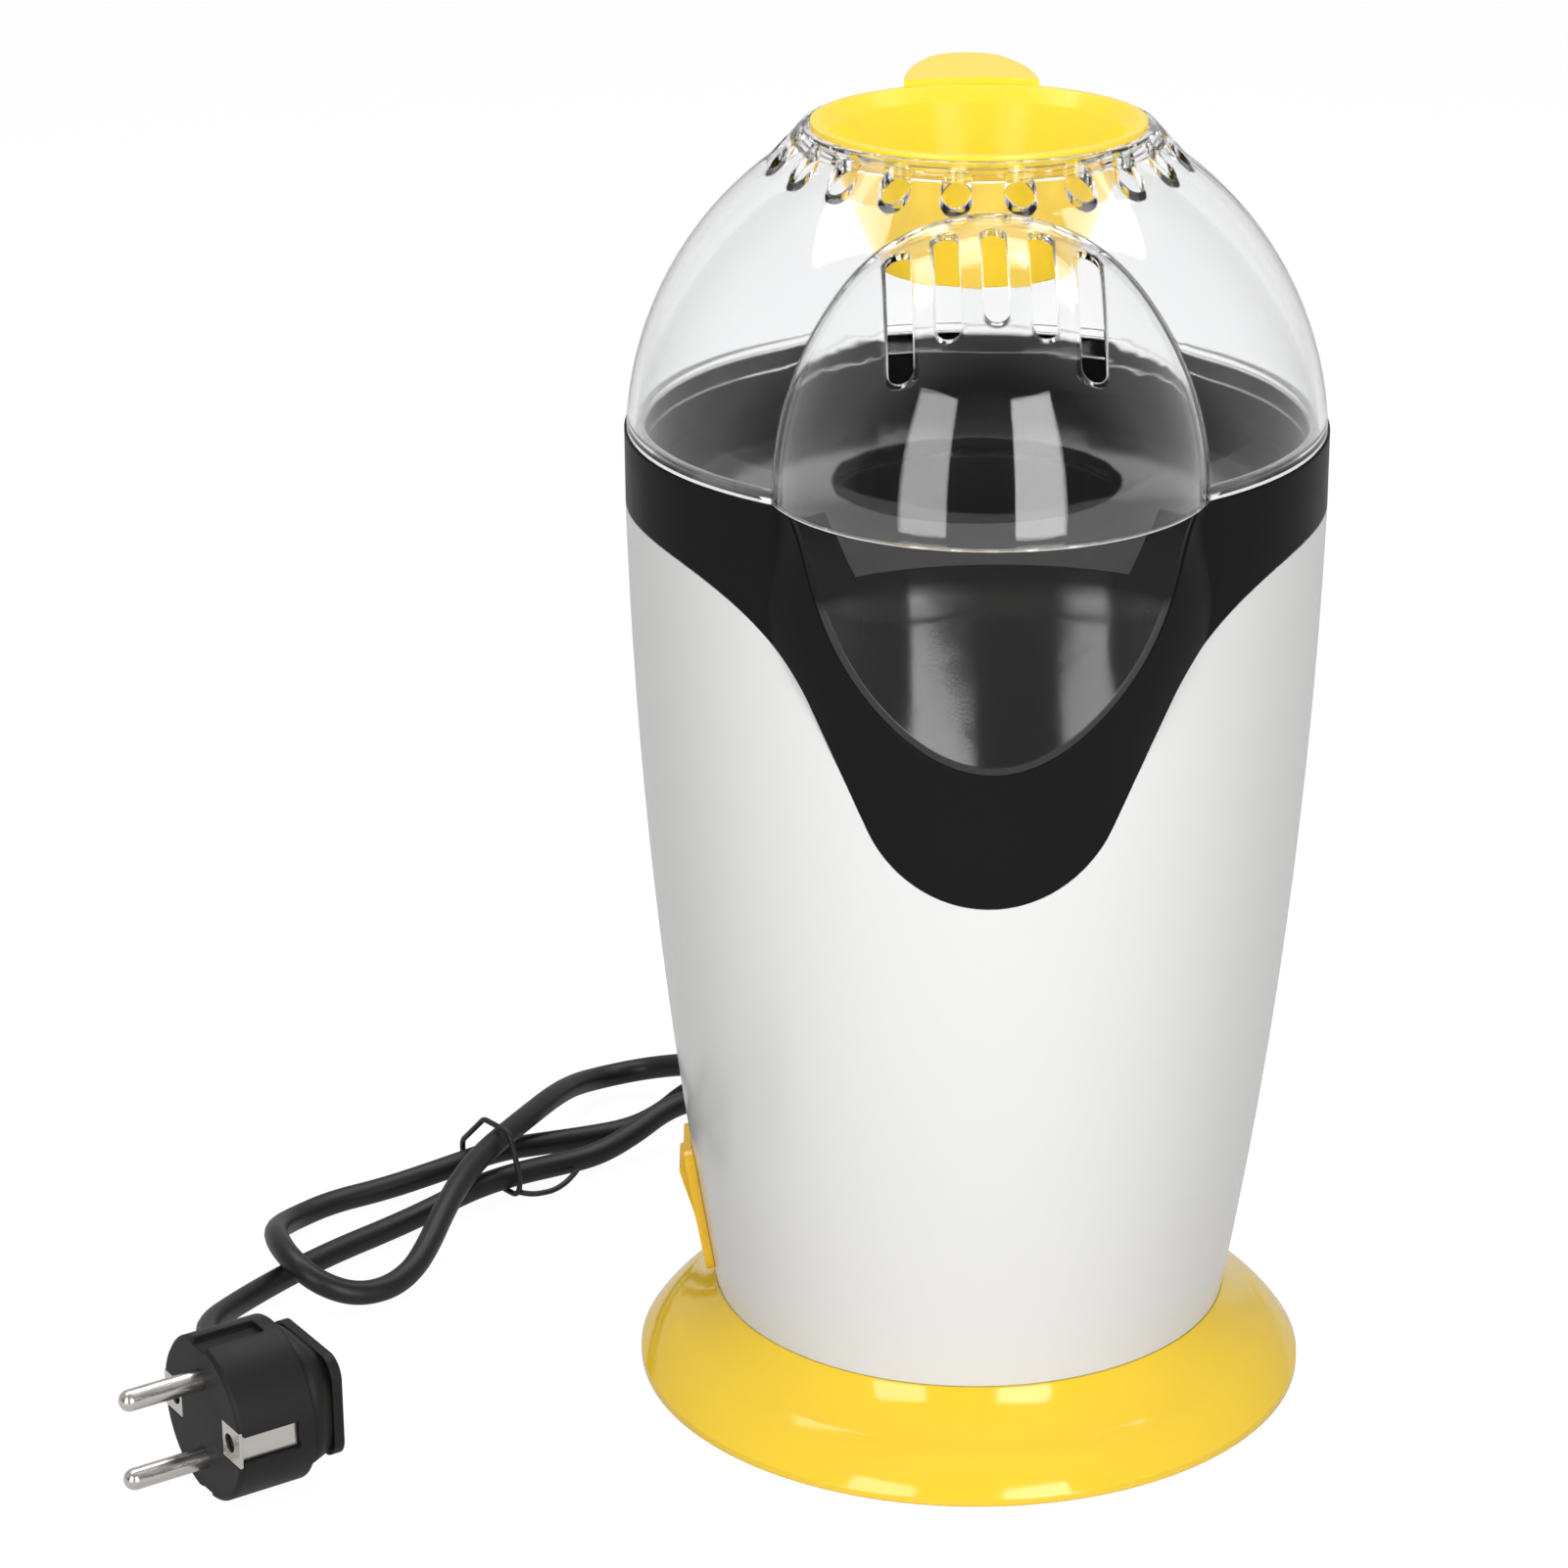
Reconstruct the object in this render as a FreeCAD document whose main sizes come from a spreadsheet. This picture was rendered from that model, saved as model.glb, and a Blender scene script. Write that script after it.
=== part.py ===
"""Hot-air popcorn maker, modelled as an assembly of its separate pieces.

Lengths are in millimetres and angles in degrees. +Z is up, the spout faces -Y, and the origin lies
on the machine's axis at table height.
"""
import FreeCAD, Part
import math
import operator
import os

import Sketcher
from FreeCAD import Placement, Rotation, Vector

LEFT = "left"
RIGHT = "right"
X_AXIS = Vector(1, 0, 0)
Y_AXIS = Vector(0, 1, 0)
Z_AXIS = Vector(0, 0, 1)

DIMENSIONS = (
    # Clearances
    ("seat_gap", 0.2),
    ("seam_gap", 0.25),
    ("lift_gap", 0.3),
    ("running_gap", 0.05),
    # Base
    ("foot_height", 2.0),
    ("foot_radius", 7.0),
    ("foot_inset", 15.0),
    ("foot_stem_radius", 2.4),
    ("plate_thickness", 2.5),
    ("grille_inner", 12.0),
    ("grille_outer", 33.0),
    ("grille_slot", 3.2),
    ("base_spread", 0.2),
    ("base_height", 21.0),
    ("base_edge", 1.2),
    ("base_lip", 1.6),
    ("base_wall", 2.4),
    ("base_flare", 30.0),
    ("base_step", 9.0),
    ("base_mid_height", 11.6),
    ("ledge_radius", 36.0),
    ("ledge_height", 12.0),
    ("ledge_thickness", 2.5),
    ("screw_inset", 25.0),
    ("screw_radius", 1.25),
    ("screw_head_radius", 3.0),
    ("screw_head_height", 1.6),
    ("boss_radius", 4.0),
    # Body shell
    ("shell_taper", 17.4),
    ("shell_foot_height", 20.0),
    ("shell_arc", 1211.0),
    ("shell_wall", 2.2),
    # Collar, bib and spout
    ("collar_radius", 75.1),
    ("collar_height", 222.0),
    ("collar_wall", 2.4),
    ("band_height", 16.0),
    ("bib_drop", 67.0),
    ("bib_round", 27.5),
    ("bib_slope", 66.0),
    ("bib_shoulder", 41.0),
    ("bib_inset", 0.8),
    ("spout_swell", 17.9),
    ("spout_stand", 0.4),
    ("spout_radius", 46.0),
    ("crease_half", 44.0),
    ("crease_drop", 29.0),
    ("waist_drop", 57.0),
    ("waist_half", 29.5),
    ("toe_drop", 72.0),
    ("toe_half", 22.0),
    ("spout_run_out", 6.0),
    # Deck and chute
    ("deck_drop", 13.0),
    ("deck_thickness", 2.5),
    ("mouth_drop", 49.5),
    ("mouth_round", 36.0),
    ("mouth_slope", 58.0),
    ("mouth_flank", 90.0),
    ("chute_fall", 60.0),
    ("chute_wall", 1.4),
    ("chute_gap", 0.14),
    ("chute_flush", 0.3),
    ("lug_width", 6.0),
    ("lug_depth", 4.0),
    ("lug_height", 9.0),
    ("lug_circle", 66.0),
    ("lug_angle", 55.0),
    # Popping chamber and heater
    ("chamber_radius", 32.0),
    ("chamber_wall", 0.9),
    ("chamber_depth", 59.7),
    ("chamber_corner", 6.0),
    ("chamber_flange", 41.0),
    ("chamber_slot_width", 2.0),
    ("chamber_slot_length", 13.0),
    ("chamber_slot_rise", 15.0),
    ("chamber_slot_lean", 35.0),
    ("seal_thickness", 1.8),
    ("seal_inner", 34.0),
    ("shield_radius", 39.0),
    ("shield_wall", 0.6),
    ("shield_flange", 44.0),
    ("mica_thickness", 1.0),
    ("mica_height", 58.0),
    ("coil_radius", 33.0),
    ("coil_wire", 0.8),
    ("coil_pitch", 8.0),
    ("coil_start", 14.0),
    # Fan duct, motor and rotor
    ("duct_radius", 40.0),
    ("duct_wall", 2.0),
    ("duct_top", 74.0),
    ("duct_rim", 3.0),
    ("spider_height", 48.0),
    ("spider_thickness", 3.0),
    ("spider_arm", 6.0),
    ("motor_radius", 17.5),
    ("motor_flat", 15.0),
    ("motor_length", 32.0),
    ("motor_boss_radius", 6.0),
    ("end_cap_length", 3.5),
    ("motor_screw_offset", 12.0),
    ("shaft_radius", 1.6),
    ("shaft_low", 20.0),
    ("shaft_top", 70.5),
    ("hub_radius", 8.0),
    ("hub_low", 54.0),
    ("hub_height", 14.0),
    ("fan_radius", 35.5),
    ("blade_thickness", 1.6),
    ("blade_pitch", 38.0),
    ("cap_radius", 4.0),
    ("cap_height", 2.0),
    ("board_radius", 14.0),
    ("board_thickness", 1.6),
    ("diode_radius", 1.3),
    ("diode_length", 4.5),
    # Thermal parts
    ("thermostat_height", 120.0),
    ("thermostat_radius", 8.0),
    ("thermostat_depth", 7.0),
    ("fuse_height", 112.0),
    ("fuse_radius", 2.2),
    ("fuse_length", 11.0),
    # Switch
    ("switch_height", 39.5),
    ("switch_tilt", 9.8),
    ("bezel_width", 21.0),
    ("bezel_length", 30.0),
    ("bezel_proud", 1.4),
    ("housing_width", 18.0),
    ("housing_length", 26.0),
    ("housing_depth", 13.0),
    ("housing_wall", 1.4),
    ("rocker_gap", 0.7),
    ("rocker_proud", 2.4),
    ("rocker_dish", 0.5),
    ("rocker_depth", 5.0),
    ("rocker_pin", 1.2),
    ("rocker_rest", 5.0),
    ("blade_width", 4.8),
    ("terminal_length", 5.0),
    # Lid
    ("lid_inset", 0.3),
    ("lid_sink", 4.0),
    ("lid_wall", 2.0),
    ("spigot_depth", 4.5),
    ("spigot_wall", 1.6),
    ("neck_radius", 37.1),
    ("neck_wall", 1.6),
    ("neck_rise", 8.2),
    ("neck_shoulder", 7.4),
    ("neck_step", 2.3),
    ("ledge_lip", 1.8),
    ("hood_height", 56.0),
    ("hood_side", 64.0),
    ("slot_pitch", 9.4),
    ("slot_width", 4.9),
    ("slot_lean", 50.0),
    ("slot_stand", 56.0),
    ("slot_depth", 18.0),
    ("slot_mid_top", 29.4),
    ("slot_mid_low", 3.8),
    ("slot_next_top", 29.3),
    ("slot_next_low", 1.0),
    ("slot_far_top", 26.4),
    ("slot_far_low", 5.8),
    ("vent_offset", 3.7),
    ("vent_radius", 3.2),
    # Measuring cup
    ("cup_step", 2.4),
    ("cup_taper", 11.8),
    ("cup_stand", 0.9),
    ("cup_depth", 29.8),
    ("cup_wall", 1.8),
    ("tab_half_width", 14.5),
    ("tab_flank", 60.0),
    ("tab_tip_half", 8.6),
    ("tab_tip_radius", 9.5),
    ("tab_length", 20.3),
    ("tab_thickness", 1.8),
    ("tab_lift", 0.6),
    # Lead and plug
    ("cord_radius", 2.9),
    ("gland_height", 30.0),
    ("gland_radius", 5.0),
    ("gland_flange", 7.5),
    ("gland_length", 30.0),
    ("tie_wire", 0.7),
    ("plug_radius", 18.5),
    ("plug_depth", 18.0),
    ("plug_waist", 8.5),
    ("plug_taper", 6.6),
    ("plug_flange", 2.4),
    ("plug_pin_radius", 2.4),
    ("plug_pin_length", 19.0),
    ("plug_pin_spacing", 19.0),
    ("plug_sleeve_length", 42.0),
    ("clip_width", 6.0),
    ("clip_thickness", 0.8),
)
FOOT_COUNT = 4
SCREW_COUNT = 4
GRILLE_SLOTS = 18
CHAMBER_SLOTS = 12
SPIDER_ARMS = 4
FAN_BLADES = 7
COIL_TURNS = 5
VENT_COUNT = 20
# Route of the lead from the gland to the plug, hand-placed along its tied figure of eight.
CORD_ROUTE = (
    (0.0, 100.0, 30.0), (-2.5, 109.0, 28.5), (-10.0, 116.0, 25.0), (-22.0, 119.5, 20.5),
    (-35.0, 122.0, 17.0), (-47.0, 126.0, 14.5), (-58.0, 132.0, 12.5), (-68.0, 138.5, 9.5),
    (-78.5, 143.5, 6.0), (-89.0, 139.5, 5.5), (-95.5, 128.5, 8.5), (-100.0, 115.0, 11.5),
    (-105.0, 101.5, 13.0), (-110.8, 88.5, 13.5), (-115.8, 77.5, 13.5), (-120.2, 66.0, 12.5),
    (-124.0, 53.0, 10.0), (-127.0, 42.0, 6.5), (-130.5, 33.0, 4.0), (-136.0, 26.0, 3.0),
    (-143.5, 21.5, 4.0), (-151.5, 21.0, 7.5), (-158.0, 26.0, 10.8), (-162.4, 36.5, 10.8),
    (-164.3, 50.5, 7.0), (-161.5, 63.0, 3.4), (-153.0, 73.0, 3.0), (-140.5, 80.0, 3.0),
    (-127.0, 87.0, 4.6), (-113.5, 97.5, 5.0), (-102.0, 105.0, 3.2), (-90.5, 109.0, 3.0),
    (-80.0, 113.5, 3.0), (-72.5, 122.5, 3.0), (-67.0, 134.0, 3.0), (-58.5, 144.0, 3.0),
    (-46.5, 150.0, 3.0), (-34.0, 147.5, 3.0), (-26.5, 137.5, 3.0), (-30.0, 125.5, 3.0),
    (-41.5, 119.5, 3.4), (-54.0, 119.5, 6.5), (-64.0, 117.5, 9.4), (-71.5, 111.5, 9.2),
    (-79.0, 103.5, 6.5), (-88.0, 96.5, 4.0), (-98.0, 90.5, 4.2), (-108.5, 83.5, 5.0),
    (-118.7, 75.5, 5.0), (-128.6, 66.8, 3.4), (-138.4, 57.2, 3.0), (-147.9, 48.1, 3.0),
    (-157.0, 38.0, 3.0), (-165.0, 27.0, 3.2), (-171.0, 15.0, 4.6), (-174.3, 3.0, 7.2),
    (-174.3, -8.6, 10.0),
)
CORD_ARC_SHARE = 0.45
TIE_CENTRE = (-114.5, 87.5)
TIE_HEADING = 39.7
# Corners of the wire tie, across the strands and upwards.
TIE_CORNERS = ((-11.6, 1.2), (11.8, 1.2), (11.8, 7.5), (8.2, 17.5), (-2.2, 17.5), (-11.6, 8.4))
TIE_BEND = 3.0
SLEEVE_RIBS = (20.0, 24.5, 29.0, 33.5, 38.0)
PLUG_FACE = (-168.5, -65.0, 19.0)
PLUG_HEADING = 213.0
PLUG_EXIT = (-0.294, -0.941, -0.17)
PLUG_AXIS_DEPTH = 10.0

doc = FreeCAD.newDocument("popcorn_maker")
pieces = []


class Size:
    """A number kept together with the sheet formula that gives it."""

    def __init__(self, value, formula):
        self.value = float(value)
        self.formula = formula

    def _join(self, other, sign, work, swapped=False):
        first, second = as_size(self), as_size(other)
        if swapped:
            first, second = second, first
        formula = f"({first.formula} {sign} {second.formula})"
        return Size(work(first.value, second.value), formula)

    def __add__(self, other):
        return self._join(other, "+", operator.add)

    def __radd__(self, other):
        return self._join(other, "+", operator.add, True)

    def __sub__(self, other):
        return self._join(other, "-", operator.sub)

    def __rsub__(self, other):
        return self._join(other, "-", operator.sub, True)

    def __mul__(self, other):
        return self._join(other, "*", operator.mul)

    def __rmul__(self, other):
        return self._join(other, "*", operator.mul, True)

    def __truediv__(self, other):
        return self._join(other, "/", operator.truediv)

    def __rtruediv__(self, other):
        return self._join(other, "/", operator.truediv, True)

    def __neg__(self):
        return Size(-self.value, f"(0 - {self.formula})")


def as_size(number):
    """Give a plain number the form of a Size."""
    if isinstance(number, Size):
        return number
    return Size(number, f"({float(number)})")


def sine(angle):
    """Sine of an angle in degrees."""
    return Size(math.sin(math.radians(as_size(angle).value)), f"sin({as_size(angle).formula})")


def cosine(angle):
    """Cosine of an angle in degrees."""
    return Size(math.cos(math.radians(as_size(angle).value)), f"cos({as_size(angle).formula})")


def root(size):
    """Square root."""
    return Size(math.sqrt(as_size(size).value), f"sqrt({as_size(size).formula})")


class Sheet:
    """The document's spreadsheet; each alias reads as an attribute."""

    def __init__(self, rows):
        table = doc.addObject("Spreadsheet::Sheet", "dims")
        for number, (alias, value) in enumerate(rows, start=1):
            table.set(f"A{number}", alias)
            table.set(f"B{number}", str(value))
            table.setAlias(f"B{number}", alias)
            setattr(self, alias, Size(value, f"dims.{alias}"))


D = Sheet(DIMENSIONS)
doc.recompute()

# Sizes that follow from others, so that the pieces keep meeting when one of those changes
D.base_radius = D.collar_radius + D.base_spread
D.base_mid_radius = D.base_radius - D.base_step
D.foot_circle = D.base_radius - D.foot_inset
D.screw_circle = D.base_radius - D.screw_inset
D.shell_foot_radius = D.collar_radius - D.shell_taper
D.seam_height = D.collar_height - D.band_height
D.bib_low = D.seam_height - D.bib_drop
D.spout_reach = D.collar_radius + D.spout_swell
D.deck_height = D.collar_height - D.deck_drop
D.mouth_low = D.collar_height - D.mouth_drop
D.lid_radius = D.collar_radius - D.lid_inset
D.lid_centre = D.collar_height - D.lid_sink
D.shoulder_radius = D.neck_radius + D.neck_shoulder


def bind(thing, path, size):
    """Bind a property to the sheet."""
    thing.setExpression(path, as_size(size).formula)


def place(thing, x=0.0, y=0.0, z=0.0, turn=None):
    """Put an object at a place that follows the sheet."""
    spot = [as_size(number) for number in (x, y, z)]
    thing.Placement = Placement(Vector(*[size.value for size in spot]), turn or Rotation())
    for letter, size in zip("xyz", spot):
        bind(thing, f"Placement.Base.{letter}", size)
    return thing


def piece(label, thing):
    """Name an object as one of the finished pieces."""
    thing.Label = label
    pieces.append(thing)
    return thing


def arc_between(start, end, radius, side):
    """Minor arc between two sketch points, with its centre on the given side of travel."""
    chord = end - start
    rise = math.sqrt(radius ** 2 - (chord.Length / 2) ** 2)
    across = Vector(-chord.y, chord.x, 0).normalize()
    centre = (start + end) / 2 + across * (rise if side == LEFT else -rise)
    first, last = (start, end) if side == LEFT else (end, start)
    begin = math.atan2(first.y - centre.y, first.x - centre.x)
    finish = math.atan2(last.y - centre.y, last.x - centre.x)
    if finish < begin:
        finish += 2 * math.pi
    return Part.ArcOfCircle(Part.Circle(centre, Z_AXIS, radius), begin, finish)


def draw_outline(sketch, corners):
    """Draw a closed outline in a sketch, with every corner and radius bound to the sheet.

    A corner is (x, y), or (x, y, radius, side) where an arc leads to the next corner.
    """
    first = sketch.GeometryCount
    count = len(corners)
    spots = [Vector(as_size(corner[0]).value, as_size(corner[1]).value, 0) for corner in corners]
    ends = []
    for number, corner in enumerate(corners):
        start, end = spots[number], spots[(number + 1) % count]
        if len(corner) == 2:
            sketch.addGeometry(Part.LineSegment(start, end), False)
            ends.append((1, 2))
        else:
            sketch.addGeometry(arc_between(start, end, as_size(corner[2]).value, corner[3]), False)
            ends.append((1, 2) if corner[3] == LEFT else (2, 1))
    for number, corner in enumerate(corners):
        follower = (number + 1) % count
        sketch.addConstraint(Sketcher.Constraint(
            "Coincident", first + number, ends[number][1], first + follower, ends[follower][0]))
        fix_point(sketch, first + number, ends[number][0], corner[0], corner[1])
        if len(corner) == 4:
            fix_value(sketch, ("Radius", first + number), corner[2])


def draw_circle(sketch, x, y, radius):
    """Draw a circle in a sketch, bound to the sheet."""
    middle = Vector(as_size(x).value, as_size(y).value, 0)
    number = sketch.addGeometry(Part.Circle(middle, Z_AXIS, as_size(radius).value), False)
    fix_point(sketch, number, 3, x, y)
    fix_value(sketch, ("Radius", number), radius)


def fix_point(sketch, number, end, x, y):
    """Hold one point of a sketch at its coordinates."""
    for kind, axis, size in (("DistanceX", -2, x), ("DistanceY", -1, y)):
        if not isinstance(size, Size) and size == 0:
            sketch.addConstraint(Sketcher.Constraint("PointOnObject", number, end, axis))
        else:
            fix_value(sketch, (kind, -1, 1, number, end), size)


def fix_value(sketch, terms, size):
    """Add a constraint with a value and bind that value to the sheet."""
    number = sketch.addConstraint(Sketcher.Constraint(*terms, as_size(size).value))
    name = f"size{number}"
    sketch.renameConstraint(number, name)
    bind(sketch, f"Constraints.{name}", size)


class Moulding:
    """A PartDesign body with short calls for its features."""

    def __init__(self, label):
        self.body = doc.addObject("PartDesign::Body", label)
        self.body.Label = label

    def origin(self, role):
        """Plane or axis of the body's origin."""
        return next(item for item in self.body.Origin.OriginFeatures if item.Role == role)

    def sketch(self, plane, offset=0.0):
        """Empty sketch on an origin plane, moved along the plane's normal."""
        sketch = self.body.newObject("Sketcher::SketchObject", "outline")
        sketch.AttachmentSupport = [(self.origin(plane), "")]
        sketch.MapMode = "FlatFace"
        sketch.AttachmentOffset = Placement(Vector(0, 0, as_size(offset).value), Rotation())
        bind(sketch, "AttachmentOffset.Base.z", offset)
        return sketch

    def outline(self, plane, corners, offset=0.0):
        """Sketch of one closed outline."""
        sketch = self.sketch(plane, offset)
        draw_outline(sketch, corners)
        return sketch

    def circle(self, plane, x, y, radius, offset=0.0):
        """Sketch of one circle."""
        sketch = self.sketch(plane, offset)
        draw_circle(sketch, x, y, radius)
        return sketch

    def turn(self, corners, cut=False, axis_y=0.0):
        """Revolve an outline of (radius, height) corners about a vertical axis."""
        kind = "PartDesign::Groove" if cut else "PartDesign::Revolution"
        sketch = self.outline("XZ_Plane", corners, -as_size(axis_y))
        feature = self.body.newObject(kind, "turned")
        feature.Profile = sketch
        feature.ReferenceAxis = (sketch, ["V_Axis"])
        feature.Angle = 360
        return feature

    def extrude(self, sketch, length, cut=False, reverse=False, symmetric=False):
        """Pad or pocket a sketch."""
        kind = "PartDesign::Pocket" if cut else "PartDesign::Pad"
        feature = self.body.newObject(kind, "extruded")
        feature.Profile = sketch
        feature.Reversed = reverse
        feature.SideType = "Symmetric" if symmetric else "One side"
        bind(feature, "Length", length)
        return feature

    def loft(self, sketches, cut=False):
        """Loft a smooth solid through sketches."""
        kind = "PartDesign::SubtractiveLoft" if cut else "PartDesign::AdditiveLoft"
        feature = self.body.newObject(kind, "lofted")
        feature.Profile = sketches[0]
        feature.Sections = sketches[1:]
        return feature

    def repeat(self, feature, count):
        """Repeat a feature evenly about the Z axis."""
        pattern = self.body.newObject("PartDesign::PolarPattern", "repeated")
        pattern.Originals = [feature]
        pattern.Axis = (self.origin("Z_Axis"), [""])
        pattern.Angle = 360
        pattern.Occurrences = count
        self.body.Tip = pattern
        return pattern


def cylinder(radius, height, x=0.0, y=0.0, z=0.0, turn=None):
    """Cylinder primitive bound to the sheet."""
    solid = doc.addObject("Part::Cylinder", "cylinder")
    bind(solid, "Radius", radius)
    bind(solid, "Height", height)
    return place(solid, x, y, z, turn)


def cone(low_radius, high_radius, height, x=0.0, y=0.0, z=0.0, turn=None):
    """Cone primitive bound to the sheet."""
    solid = doc.addObject("Part::Cone", "cone")
    bind(solid, "Radius1", low_radius)
    bind(solid, "Radius2", high_radius)
    bind(solid, "Height", height)
    return place(solid, x, y, z, turn)


def block(length, width, height, x=0.0, y=0.0, z=0.0, turn=None):
    """Box primitive bound to the sheet, given by its lowest corner."""
    solid = doc.addObject("Part::Box", "block")
    bind(solid, "Length", length)
    bind(solid, "Width", width)
    bind(solid, "Height", height)
    return place(solid, x, y, z, turn)


def cut(base, tool):
    """One object less another."""
    result = doc.addObject("Part::Cut", "cut")
    result.Base = base
    result.Tool = tool
    return result


def common(first, second):
    """What two objects share."""
    result = doc.addObject("Part::Common", "common")
    result.Base = first
    result.Tool = second
    return result


def fuse(*things):
    """Several objects joined into one."""
    result = doc.addObject("Part::MultiFuse", "fuse")
    result.Shapes = list(things)
    result.Refine = True
    return result


def group(label, shapes):
    """Separate solids that share one name."""
    feature = doc.addObject("Part::Feature", label)
    feature.Shape = Part.makeCompound(shapes)
    return piece(label, feature)


def around(shape, count, first_angle=0.0):
    """Copies of a shape spaced evenly about the machine's axis."""
    copies = []
    for number in range(count):
        copy = shape.copy()
        copy.rotate(Vector(), Z_AXIS, first_angle + number * 360 / count)
        copies.append(copy)
    return copies


def round_bar(radius, low, high, x=0.0, y=0.0):
    """Upright cylinder between two heights."""
    return Part.makeCylinder(radius, high - low, Vector(x, y, low), Z_AXIS)


# Heights and radii that several pieces share
plate_top = D.foot_height + D.plate_thickness
ledge_under = D.ledge_height - D.ledge_thickness
pilot_radius = D.screw_radius + D.running_gap
collar_inner = D.collar_radius - D.collar_wall
deck_under = D.deck_height - D.deck_thickness
flange_top = deck_under - D.seal_thickness
shield_top = flange_top - D.chamber_wall
lid_low = D.collar_height + D.lift_gap
spider_top = D.spider_height + D.spider_thickness
motor_low = D.spider_height - D.motor_length
cap_low = motor_low - D.end_cap_length
chamber_floor = flange_top - D.chamber_depth
neck_inner = D.neck_radius - D.neck_wall
cup_rim = neck_inner - D.lift_gap
cup_neck = cup_rim - D.cup_step


def base_ring():
    """Flared skirt with the ledge that carries the body shell and the fan duct."""
    socket = D.shell_foot_radius + D.seat_gap
    ring = Moulding("base_ring")
    ring.turn([
        (socket, D.base_height, D.base_flare, LEFT),
        (D.base_mid_radius, D.base_mid_height, D.base_flare, RIGHT),
        (D.base_radius, D.base_edge + D.base_lip),
        (D.base_radius, D.base_edge),
        (D.base_radius - D.base_wall, D.base_edge),
        (D.base_radius - D.base_wall, D.base_edge + D.base_lip),
        (D.base_mid_radius - D.base_wall, ledge_under),
        (D.ledge_radius, ledge_under),
        (D.ledge_radius, D.ledge_height),
        (socket, D.ledge_height),
    ])
    boss = ring.circle("XY_Plane", D.screw_circle, 0, D.boss_radius, plate_top)
    ring.repeat(ring.extrude(boss, ledge_under - plate_top), SCREW_COUNT)
    pilot = ring.circle("XY_Plane", D.screw_circle, 0, pilot_radius, plate_top)
    drilled = ring.extrude(pilot, ledge_under - plate_top, cut=True, reverse=True)
    ring.repeat(drilled, SCREW_COUNT)
    return piece("base_ring", ring.body)


def base_plate():
    """Bottom cover with radial intake slots."""
    plate = Moulding("base_plate")
    slope = (D.base_wall + D.base_mid_radius - D.base_radius) / (ledge_under - D.base_edge - D.base_lip)
    skirt_inside = D.base_radius - D.base_wall + slope * (plate_top - D.base_edge - D.base_lip)
    rim = skirt_inside - D.base_wall
    disc = plate.circle("XY_Plane", 0, 0, rim, D.foot_height)
    plate.extrude(disc, D.plate_thickness)
    half = D.grille_slot / 2
    slot = plate.outline("XY_Plane", [
        (D.grille_inner, -half), (D.grille_outer, -half, half * 1.001, LEFT),
        (D.grille_outer, half), (D.grille_inner, half, half * 1.001, LEFT)], D.foot_height)
    plate.repeat(plate.extrude(slot, D.plate_thickness, cut=True, reverse=True), GRILLE_SLOTS)
    hole = plate.circle("XY_Plane", D.screw_circle, 0, D.screw_radius + D.seat_gap, D.foot_height)
    plate.repeat(plate.extrude(hole, D.plate_thickness, cut=True, reverse=True), SCREW_COUNT)
    recess = plate.circle("XY_Plane", D.screw_circle, 0, D.screw_head_radius + D.seat_gap, D.foot_height)
    plate.repeat(plate.extrude(recess, D.plate_thickness / 2, cut=True, reverse=True), SCREW_COUNT)
    half_way = cosine(180 / FOOT_COUNT)
    stem = plate.circle("XY_Plane", D.foot_circle * half_way, D.foot_circle * half_way,
                        D.foot_stem_radius + D.running_gap, D.foot_height)
    plate.repeat(plate.extrude(stem, D.plate_thickness, cut=True, reverse=True), FOOT_COUNT)
    return piece("base_plate", plate.body)


def rubber_feet():
    """Four push-in feet with a barbed stem."""
    low = D.foot_height.value
    barb = plate_top.value + D.seat_gap.value
    x = D.foot_circle.value
    pad = round_bar(D.foot_radius.value, 0, low, x)
    stem = round_bar(D.foot_stem_radius.value, low, barb, x)
    head = Part.makeCone(D.foot_stem_radius.value * 1.3, D.foot_stem_radius.value * 0.8,
                         D.foot_height.value / 2, Vector(x, 0, barb), Z_AXIS)
    return group("rubber_feet", around(pad.multiFuse([stem, head]), FOOT_COUNT, 180 / FOOT_COUNT))


def base_screws():
    """Screws that hold the bottom cover to the base ring."""
    seat = D.foot_height.value + D.plate_thickness.value / 2
    x = D.screw_circle.value
    head = round_bar(D.screw_head_radius.value, seat - D.screw_head_height.value, seat, x)
    shank = round_bar(D.screw_radius.value, seat, ledge_under.value - D.screw_radius.value, x)
    return group("base_screws", around(head.fuse(shank), SCREW_COUNT))


def shell_corners(inset, low, high):
    """Barrel outline from its foot to a height above the seam, set in by a wall."""
    return [
        (0, low),
        (D.shell_foot_radius - inset, low),
        (D.shell_foot_radius - inset, D.shell_foot_height, D.shell_arc - inset, LEFT),
        (D.collar_radius - inset, D.seam_height),
        (D.collar_radius - inset, high),
        (0, high),
    ]


def barrel(inset):
    """Solid of the barrel's envelope, set in by a wall."""
    envelope = Moulding("barrel_envelope")
    envelope.turn(shell_corners(as_size(inset), D.ledge_height, D.collar_height))
    return envelope.body


def seam_curve(drop):
    """Bell curve of the bib in front view, from right to left, lowered by a gap."""
    low = D.bib_low - drop
    high = D.seam_height - drop
    bend = 1 - cosine(D.bib_slope)
    x_low = D.bib_round * sine(D.bib_slope)
    z_low = low + D.bib_round * bend
    z_high = high - D.bib_shoulder * bend
    x_end = D.collar_radius - D.bib_inset
    x_high = x_end - D.bib_shoulder * sine(D.bib_slope)
    return [
        (x_end, high, D.bib_shoulder, LEFT),
        (x_high, z_high),
        (x_low, z_low, D.bib_round, RIGHT),
        (-x_low, z_low),
        (-x_high, z_high, D.bib_shoulder, LEFT),
        (-x_end, high),
    ]


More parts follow.
